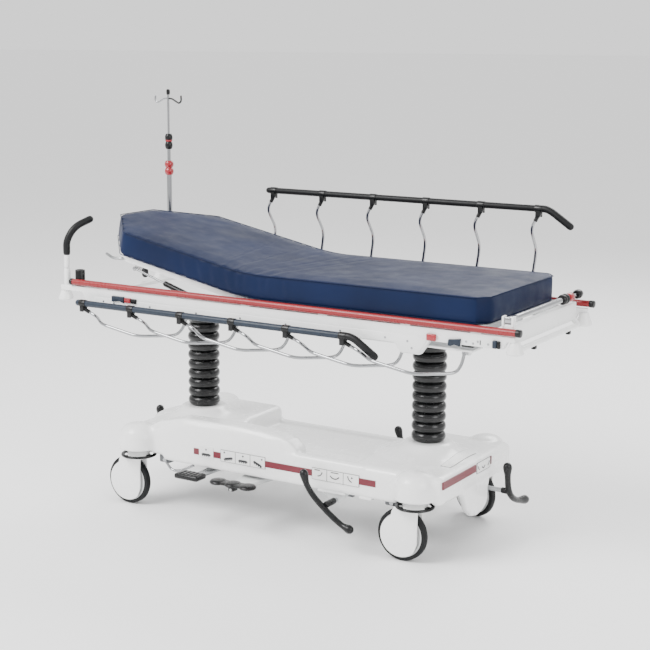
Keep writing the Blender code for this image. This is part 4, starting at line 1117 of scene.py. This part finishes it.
def along_spine(point):
    """How far past the hinge a point lies along the mattress, and its height above the underside."""
    t = HINGE[0] - point.x
    for _pass in range(6):
        base, tilt = spine_point(t)
        away = point - base
        t += away.x * -math.cos(tilt) + away.z * math.sin(tilt)
    base, tilt = spine_point(t)
    away = point - base
    return t, away.x * math.sin(tilt) + away.z * math.cos(tilt)


def puffed(obj, swell):
    """Blows the cover up a little with cloth, its seams and underside held, and caps the movement."""
    rest = [vertex.co.copy() for vertex in obj.data.vertices]
    held = obj.vertex_groups.new(name="held")
    for vertex in obj.data.vertices:
        point = vertex.co
        t, height = along_spine(point)
        edge = min(half_width(t) - abs(point.y), MATTRESS_HEAD - t, t - MATTRESS_FOOT)
        if height < 0.012 or (height > 0.085 and edge < 0.014):
            held.add([vertex.index], 1.0, "REPLACE")
    select(obj)
    cloth = obj.modifiers.new("cloth", "CLOTH")
    cloth.settings.use_pressure = True
    cloth.settings.uniform_pressure_force = 4.0
    cloth.settings.quality = 4
    cloth.settings.mass = 0.25
    cloth.settings.effector_weights.gravity = 0.0
    cloth.settings.vertex_group_mass = "held"
    cloth.point_cache.frame_start = 1
    cloth.point_cache.frame_end = 14
    for number in range(1, 15):
        bpy.context.scene.frame_set(number)
    bpy.ops.object.modifier_apply(modifier=cloth.name)
    for vertex, before in zip(obj.data.vertices, rest):
        shift = vertex.co - before
        if shift.length > swell:
            vertex.co = before + shift.normalized() * swell
    obj.vertex_groups.clear()
    bpy.context.scene.frame_set(1)


def crease(point, start, end, width):
    """How deep a crease between two points reaches here, from 0 to 1."""
    along = end - start
    t = max(0.0, min(1.0, (point - start).dot(along) / along.length_squared))
    away = (point - start - along * t).length
    fade = math.sin(math.pi * min(1.0, 0.12 + t * 0.88)) ** 0.5
    return fade * math.exp(-(away / width) ** 2)


def crease_lines():
    """Creases that fan from the near hinge corner over the top and down both sides."""
    top, side = [], []
    for foot_x, head_x, width in ((-0.235, -0.330, 0.011), (-0.180, -0.205, 0.010), (-0.125, -0.110, 0.012),
                                  (-0.070, 0.020, 0.010), (-0.010, 0.150, 0.013)):
        top.append((Vector((foot_x, -0.325)), Vector((head_x, 0.260)), width))
    for x, lean, width in ((-0.420, 0.020, 0.010), (-0.350, 0.028, 0.012), (-0.285, 0.014, 0.009),
                           (-0.225, 0.030, 0.011), (-0.165, 0.010, 0.009), (-0.115, -0.012, 0.010),
                           (-0.060, 0.012, 0.009), (-0.010, -0.015, 0.011), (0.050, 0.014, 0.010)):
        side.append((Vector((x, 1.075)), Vector((x + lean, 0.950)), width))
    return top, side


def creased(obj, depth):
    top, side = crease_lines()
    normals = [vertex.normal.copy() for vertex in obj.data.vertices]
    for vertex, normal in zip(obj.data.vertices, normals):
        x, y, z = vertex.co
        if not -0.50 < x < 0.25:
            continue
        sink = 0.0
        if normal.z > 0.5:
            sink = max(crease(Vector((x, y)), *line) for line in top)
            sink -= 0.6 * max(crease(Vector((x - 0.026, y)), *line) for line in top)
        elif abs(normal.y) > 0.5:
            sink = max(crease(Vector((x, z)), *line) for line in side) * 0.75
            sink -= 0.45 * max(crease(Vector((x - 0.022, z)), *line) for line in side)
        vertex.co -= normal * depth * sink


def welt_path(height):
    """The line of a seam round the mattress at a height."""
    path = []
    start, end = MATTRESS_FOOT + 0.003, MATTRESS_HEAD - 0.003
    for index in range(121):
        t = start + (end - start) * index / 120
        path.append((t, half_width(t) + 0.0005))
    line = [mattress_point(t, -y, height) for t, y in path]
    back = [mattress_point(t, y, height) for t, y in reversed(path)]
    return line + back + [line[0]]


class Mattress(bpy.types.Operator):
    """Sews the mattress, puffs it with cloth and bends it over the backrest hinge"""
    bl_idname = "trolley.mattress"
    bl_label = "Mattress"

    def execute(self, context):
        sizes = settings()
        obj = bent_mattress()
        puffed(obj, sizes.swell)
        creased(obj, sizes.crease)
        applied(obj, "SMOOTH", factor=0.4, iterations=2)
        applied(obj, "SUBSURF", levels=1)
        welts = [tube("mattress_welt_top", welt_path(MATTRESS_TOP - DECK_TOP - 0.0035), sizes.welt,
                      resolution=2),
                 tube("mattress_welt_low", welt_path(0.0050), sizes.welt * 0.8, resolution=2)]
        start, end = mattress_point(-HINGE_ARC, 0, 0), mattress_point(HINGE_ARC, 0, 0)
        for piece in (obj, *welts):
            piece.data.materials.clear()
            piece.data.materials.append(look("fabric"))
            select(piece)
            bpy.ops.object.shade_smooth()
            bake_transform(piece)
        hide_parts("seat_mattress", "fowler_mattress")
        return {"FINISHED"}


# ---------------------------------------------------------------- side rails
def spindle_parts():
    """One raised upright about its pivot, drawn on the far side: rod, dark knuckle and foot eye."""
    out = -PIVOT_Y
    path = [KNUCKLE, (-0.036, 0.374 + out, 0.378), (-0.042, 0.452 + out, 0.284),
            (-0.063, 0.449 + out, 0.108), (-0.060, 0.345 + out, -0.006), (-0.040, 0.297 + out, -0.005),
            (0, 0.005, 0)]
    bar = tube("spindle", rounded(path, 0.034, 8), settings().spindle, resolution=6)
    eye = rod("eye", (0, -0.0080, 0), (0, 0.0090, 0), 0.0100, edge=0.0015)
    pin = rod("pin", (0, -0.0300, 0), (0, 0, 0), 0.0041, sides=20)
    bar = joined(bar, eye, pin)
    x, y, z = KNUCKLE
    top = rod("spindle_eye", (x, y - 0.0090, z), (x, y + 0.0090, z), 0.0102, edge=0.0016)
    sleeve = tube("sleeve", [Vector(KNUCKLE), Vector((x - 0.012, y - 0.0065, z - 0.028))], 0.0082)
    return bar, joined(top, sleeve)


def rail_parts():
    """The top bar about the first upright's knuckle, with its grip and knuckle cheeks."""
    span = PITCH * (SPINDLES - 1)
    z = KNUCKLE_DROP
    radius = settings().rail
    bar = tube("rail_bar", [(-0.026, 0, z), (span * 0.5, 0, z), (span + 0.006, 0, z)], radius, resolution=7,
               domed=True)
    bends = [(span, 0, z), (span + 0.040, 0, z), (span + 0.133, 0, z - 0.062)]
    grip = tube("rail_grip", rounded(bends, 0.034, 9), radius + 0.0012, resolution=7, domed=True)
    cheeks = []
    for index in range(SPINDLES):
        x = PITCH * index
        collar = rod("rail_cheeks", (x - 0.016, 0, z), (x + 0.016, 0, z), radius + 0.0022, edge=0.002)
        cheeks.append(collar)
        for side in SIDES.values():
            y = sorted((side * 0.0103, side * 0.0137))
            cheeks.append(block("cheek", (x - 0.010, x + 0.010), y, (-0.0115, z), 0.0014))
    return bar, grip, joined(*cheeks)


class SideRails(bpy.types.Operator):
    """Bends one rail upright and one top bar, and places them raised and folded"""
    bl_idname = "trolley.side_rails"
    bl_label = "Side rails"

    def execute(self, context):
        spindle, rail = spindle_parts(), rail_parts()
        for name, side in SIDES.items():
            flip = MIRROR if side == NEAR else Matrix.Identity(4)
            turn = Matrix.Rotation(-RAIL_FOLD if side == NEAR else 0.0, 4, "Y")
            for index in range(SPINDLES):
                pivot = Vector((PIVOT_LAST_X - PITCH * (SPINDLES - 1 - index), side * PIVOT_Y, PIVOT_Z))
                place = Matrix.Translation(pivot) @ turn @ flip
                body = f"spindle_{name}_{index + 1}"
                bar = copied(spindle[0], f"upright_{name}_{index + 1}", place)
                done(bar, look("chrome"), body, f"rail_spindle_{name}_{index + 1}", angle=60)
                done(copied(spindle[1], f"upright_top_{name}_{index + 1}", place), look("plastic"), body)
            first = Vector((PIVOT_LAST_X - PITCH * (SPINDLES - 1), side * PIVOT_Y, PIVOT_Z))
            knuckle = first + turn.to_3x3() @ (flip.to_3x3() @ Vector(KNUCKLE))
            place = Matrix.Translation(knuckle) @ flip
            surfaces = ("slate" if side == NEAR else "grip", "grip", "plastic")
            for part, surface in zip(rail, surfaces):
                nodes = ["side_rail_" + name] if part is rail[0] else []
                done(copied(part, f"{part.name}_{name}", place), look(surface), "rail_" + name, *nodes)
            latch = block("latch_lever_" + name, (0.692, 0.730), sorted((side * 0.3583, side * 0.3475)),
                          (0.861, 0.8865), 0.0042, 4)
            done(latch, look("red_plastic"), "latch_" + name, "rail_latch_" + name)
        select(*spindle, *rail)
        bpy.ops.object.delete()
        return {"FINISHED"}


# ---------------------------------------------------------------- backrest gear, handles and poles
class Backrest(bpy.types.Operator):
    """Builds the gas spring and the release bar, and finishes the decks"""
    bl_idname = "trolley.backrest"
    bl_label = "Backrest gear"

    def execute(self, context):
        turn = Matrix.Rotation(BACK_REST, 4, "Y")
        place = Matrix.Translation((HINGE[0], 0, HINGE[1])) @ turn @ Matrix.Translation((-0.630, 0, -0.024))
        grips = [rod("release_bar", (0, -0.294, 0), (0, 0.294, 0), 0.0052)]
        for side in SIDES.values():
            path = rounded([(0.000, side * 0.288, 0.0), (-0.050, side * 0.288, -0.012),
                            (-0.105, side * 0.262, -0.012)], 0.02)
            grips.append(tube("grip", path, 0.0062, domed=True))
        done(moved(joined(*grips), place), look("steel"), "fowler_release", "fowler_release")
        rest = Matrix.Translation((-0.287, 0, 0.858)) @ Matrix.Rotation(math.radians(17.56), 4, "Y")
        barrel = lathe("spring_barrel", [(0.0, 0.006), (0.0100, 0.006), (0.0118, 0.009), (0.0118, 0.270),
                                         (0.0105, 0.275), (0.0056, 0.275), (0.0056, 0.012), (0.0, 0.012)])
        barrel = moved(barrel, Matrix.Translation((0, -0.262, 0)) @ Matrix.Rotation(math.radians(-90), 4,
                                                                                    "Y"))
        eye = rod("eye", (0, -0.2497, 0), (0, -0.2678, 0), 0.0090, edge=0.0015)
        done(moved(joined(barrel, eye), rest), look("plastic"), "gas_cylinder", "gas_cylinder")
        rod_end = rod("spring_rod", (-0.050, -0.262, 0), (-0.434, -0.262, 0), 0.0045)
        end = rod("end", (-0.434, -0.2540, 0), (-0.434, -0.2680, 0), 0.0090, edge=0.0015)
        done(moved(joined(rod_end, end), rest), look("chrome"), "gas_rod", "gas_rod")
        for node, surface in (("seat_deck", "grey"), ("fowler_deck", "paint"),
                              ("base_chassis", "dark_steel"), ("jack_cylinders", "dark_steel"),
                              ("jack_rods", "steel")):
            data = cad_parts[node].data
            data.materials.clear()
            data.materials.append(look(surface))
        return {"FINISHED"}


class PushHandles(bpy.types.Operator):
    """Bends one push handle and places it raised and folded"""
    bl_idname = "trolley.push_handles"
    bl_label = "Push handles"

    def execute(self, context):
        path = rounded([(0, 0, 0.052), (0, 0, 0.104), (0.022, 0.028, 0.160), (0.048, 0.095, 0.186)], 0.045,
                       9)
        grip = tube("push_grip", path, 0.0148, resolution=8, domed=True)
        stem = lathe("push_stem", [(0.0, 0.060), (0.0112, 0.060), (0.0118, 0.040), (0.0118, -0.008),
                                   (0.0100, -0.0105), (0.0, -0.0105)])
        for name, side in SIDES.items():
            flip = MIRROR if side == FAR else Matrix.Identity(4)
            fold = Matrix.Rotation(math.radians(90) if side == FAR else 0.0, 4, "X")
            place = Matrix.Translation((POST[0], side * POST[1], HANDLE_Z)) @ fold @ flip
            done(copied(grip, "push_grip_" + name, place), look("grip"), "handle_" + name,
                 "push_handle_" + name)
            done(copied(stem, "push_stem_" + name, place), look("paint"), "handle_" + name)
        select(grip, stem)
        bpy.ops.object.delete()
        return {"FINISHED"}


def bulb_collar(name, low, high, radius, bore):
    """A grip collar with two bulbs."""
    profile = []
    for index in range(25):
        t = index / 24
        wave = abs(math.sin(math.pi * 2 * t)) ** 0.7
        profile.append((radius * (0.70 + 0.30 * wave), high + (low - high) * t))
    return lathe(name, profile + [(bore, low), (bore, high)])


def pole_foot(name, length, bore):
    tube_wall = lathe(name, [(bore, length), (0.0110, length), (0.0110, 0.046), (bore, 0.046)])
    foot = block("foot", (-0.0133, 0.0133), (-0.0110, 0.0110), (-0.0103, 0.051), 0.003)
    hole = rod("hole", (-0.03, 0, 0), (0.03, 0, 0), 0.0046)
    return joined(tube_wall, fused(foot, hole, operation="DIFFERENCE"))


class Poles(bpy.types.Operator):
    """Turns the raised infusion pole and the one stowed across the foot"""
    bl_idname = "trolley.poles"
    bl_label = "Infusion poles"

    def execute(self, context):
        z = HEAD_POLE[2]
        up = Matrix.Translation(HEAD_POLE)
        done(moved(pole_foot("pole_lower", 0.300, 0.0080), up), look("chrome"), "head_pole",
             "iv_pole_head_lower")
        done(moved(bulb_collar("pole_grip_red", 1.316 - z, 1.379 - z, 0.0200, 0.0080), up),
             look("red_plastic"), "head_pole")
        middle = lathe("pole_middle", [(0.0055, 1.440 - z), (0.0075, 1.440 - z), (0.0075, 1.120 - z),
                                       (0.0055, 1.120 - z)])
        done(moved(middle, up), look("chrome"), "head_pole_middle", "iv_pole_head_middle")
        done(moved(bulb_collar("pole_grip_black", 1.431 - z, 1.499 - z, 0.0172, 0.0055), up),
             look("plastic"), "head_pole_middle")
        band = lathe("pole_band", [(0.0055, 0.4450), (0.0150, 0.4450), (0.0162, 0.4400), (0.0150, 0.4350),
                                   (0.0055, 0.4350)])
        done(moved(band, up), look("red_plastic"), "head_pole_middle")
        top = rod("pole_top", (0, 0, 1.225 - z), (0, 0, 1.680 - z), 0.0049)
        done(moved(top, up), look("chrome"), "head_pole_top", "iv_pole_head_top")
        for side, surface in ((-1, "chrome"), (1, "plastic")):
            path = [(0, 0, 1.655), (side * 0.022, 0, 1.653), (side * 0.046, 0, 1.641),
                    (side * 0.060, 0, 1.636), (side * 0.071, 0, 1.646), (side * 0.071, 0, 1.666)]
            hook = tube("pole_hook", flowing([(a, b, c - z) for a, b, c in path]), 0.0038, resolution=4,
                        domed=True)
            done(moved(hook, up), look(surface), "head_pole_top")
        cap = lathe("pole_cap", [(0.0, 0.6660), (0.005, 0.6655), (0.0082, 0.6620), (0.0085, 0.6500),
                                 (0.0070, 0.6420), (0.0, 0.6400)])
        done(moved(cap, up), look("plastic"), "head_pole_top")
        self.foot_pole()
        return {"FINISHED"}

    def foot_pole(self):
        along = Matrix.Translation(FOOT_POLE) @ Matrix.Rotation(math.radians(-90), 4, "X")
        done(moved(pole_foot("stowed_pole", 0.490, 0.0080), along), look("chrome"), "foot_pole",
             "iv_pole_foot_lower")
        done(moved(bulb_collar("stowed_grip", 0.470, 0.520, 0.0200, 0.0080), along), look("plastic"),
             "foot_pole")
        stem = rod("stowed_stem", (0, 0, 0.120), (0, 0, 0.630), 0.0075)
        done(moved(stem, along), look("chrome"), "foot_pole_upper", "iv_pole_foot_upper")
        ring = lathe("stowed_ring", [(0.0075, 0.570), (0.0140, 0.570), (0.0168, 0.564), (0.0168, 0.541),
                                     (0.0140, 0.535), (0.0075, 0.535)])
        done(moved(ring, along), look("red_plastic"), "foot_pole_upper")
        knob = lathe("stowed_knob", [(0.0, 0.660), (0.0100, 0.660), (0.0150, 0.654), (0.0182, 0.640),
                                     (0.0172, 0.622), (0.0130, 0.616), (0.0, 0.616)])
        done(moved(knob, along), look("plastic"), "foot_pole_upper")


# ---------------------------------------------------------------- stage
def area_light(name, place, target, size, power):
    bpy.ops.object.light_add(type="AREA", location=place)
    light = bpy.context.object
    light.name = name
    light.rotation_euler = (Vector(target) - Vector(place)).to_track_quat("-Z", "Y").to_euler()
    light.data.shape = "RECTANGLE"
    light.data.size, light.data.size_y = size
    light.data.energy = power


class Stage(bpy.types.Operator):
    """Sets the pale floor, the soft light and the camera"""
    bl_idname = "trolley.stage"
    bl_label = "Stage"

    def execute(self, context):
        stage = context.scene.trolley_stage
        deselect()
        bpy.ops.mesh.primitive_plane_add(size=500.0)
        floor = named("floor")
        floor.data.materials.append(finish("floor_paint", (0.94, 0.94, 0.94), 0.65, 0.004, 0.8, 0.03,
                                           (40, 0.01, 0.0002)))
        world = bpy.data.worlds.new("studio")
        context.scene.world = world
        world.use_nodes = True
        background = world.node_tree.nodes["Background"]
        background.inputs["Color"].default_value = (1.0, 1.0, 1.0, 1.0)
        background.inputs["Strength"].default_value = 1.30 * stage.light
        area_light("key", (-2.6, -4.2, 5.2), (0, 0, 0.6), (3.5, 3.5), 620 * stage.light)
        area_light("fill", (5.5, -1.5, 3.0), (0, 0, 0.6), (3.0, 3.0), 130 * stage.light)
        area_light("back", (0.5, 4.5, 4.5), (0, 0, 0.7), (4.0, 2.5), 260 * stage.light)
        place, target = Vector(stage.camera), Vector(stage.target)
        bpy.ops.object.camera_add(location=place)
        camera = bpy.context.object
        turn = (target - place).to_track_quat("-Z", "Y").to_matrix().to_4x4()
        camera.matrix_world = Matrix.Translation(place) @ turn @ Matrix.Rotation(stage.roll, 4, "Z")
        camera.data.sensor_width = 36.0
        camera.data.lens = stage.lens
        camera.data.clip_end = 900.0
        context.scene.camera = camera
        return {"FINISHED"}


# ---------------------------------------------------------------- panel and registration
STEPS = (Stage, BaseHood, Columns, Casters, BrakeLevers, Pedals, LitterFrame, Mattress, SideRails, Backrest,
         PushHandles, Poles)


class TrolleyPanel(bpy.types.Panel):
    """Lists the trolley's pieces and settings"""
    bl_idname = "VIEW3D_PT_trolley"
    bl_label = "Stretcher trolley"
    bl_space_type = "VIEW_3D"
    bl_region_type = "UI"
    bl_category = "Trolley"

    def draw(self, context):
        layout = self.layout
        for group in (context.scene.trolley_colours, context.scene.trolley_sizes,
                      context.scene.trolley_stage):
            for key in group.__annotations__:
                layout.prop(group, key)
        for step in STEPS:
            layout.operator(step.bl_idname)


CLASSES = (TrolleyColours, TrolleySizes, TrolleyStage, *STEPS, TrolleyPanel)


def register():
    for cls in CLASSES:
        bpy.utils.register_class(cls)
    bpy.types.Scene.trolley_colours = PointerProperty(type=TrolleyColours)
    bpy.types.Scene.trolley_sizes = PointerProperty(type=TrolleySizes)
    bpy.types.Scene.trolley_stage = PointerProperty(type=TrolleyStage)


def unregister():
    del bpy.types.Scene.trolley_stage
    del bpy.types.Scene.trolley_sizes
    del bpy.types.Scene.trolley_colours
    for cls in reversed(CLASSES):
        bpy.utils.unregister_class(cls)


def main():
    register()
    for step in STEPS:
        group, name = step.bl_idname.split(".")
        getattr(getattr(bpy.ops, group), name)()
    bpy.context.view_layer.update()


if __name__ == "__main__":
    main()
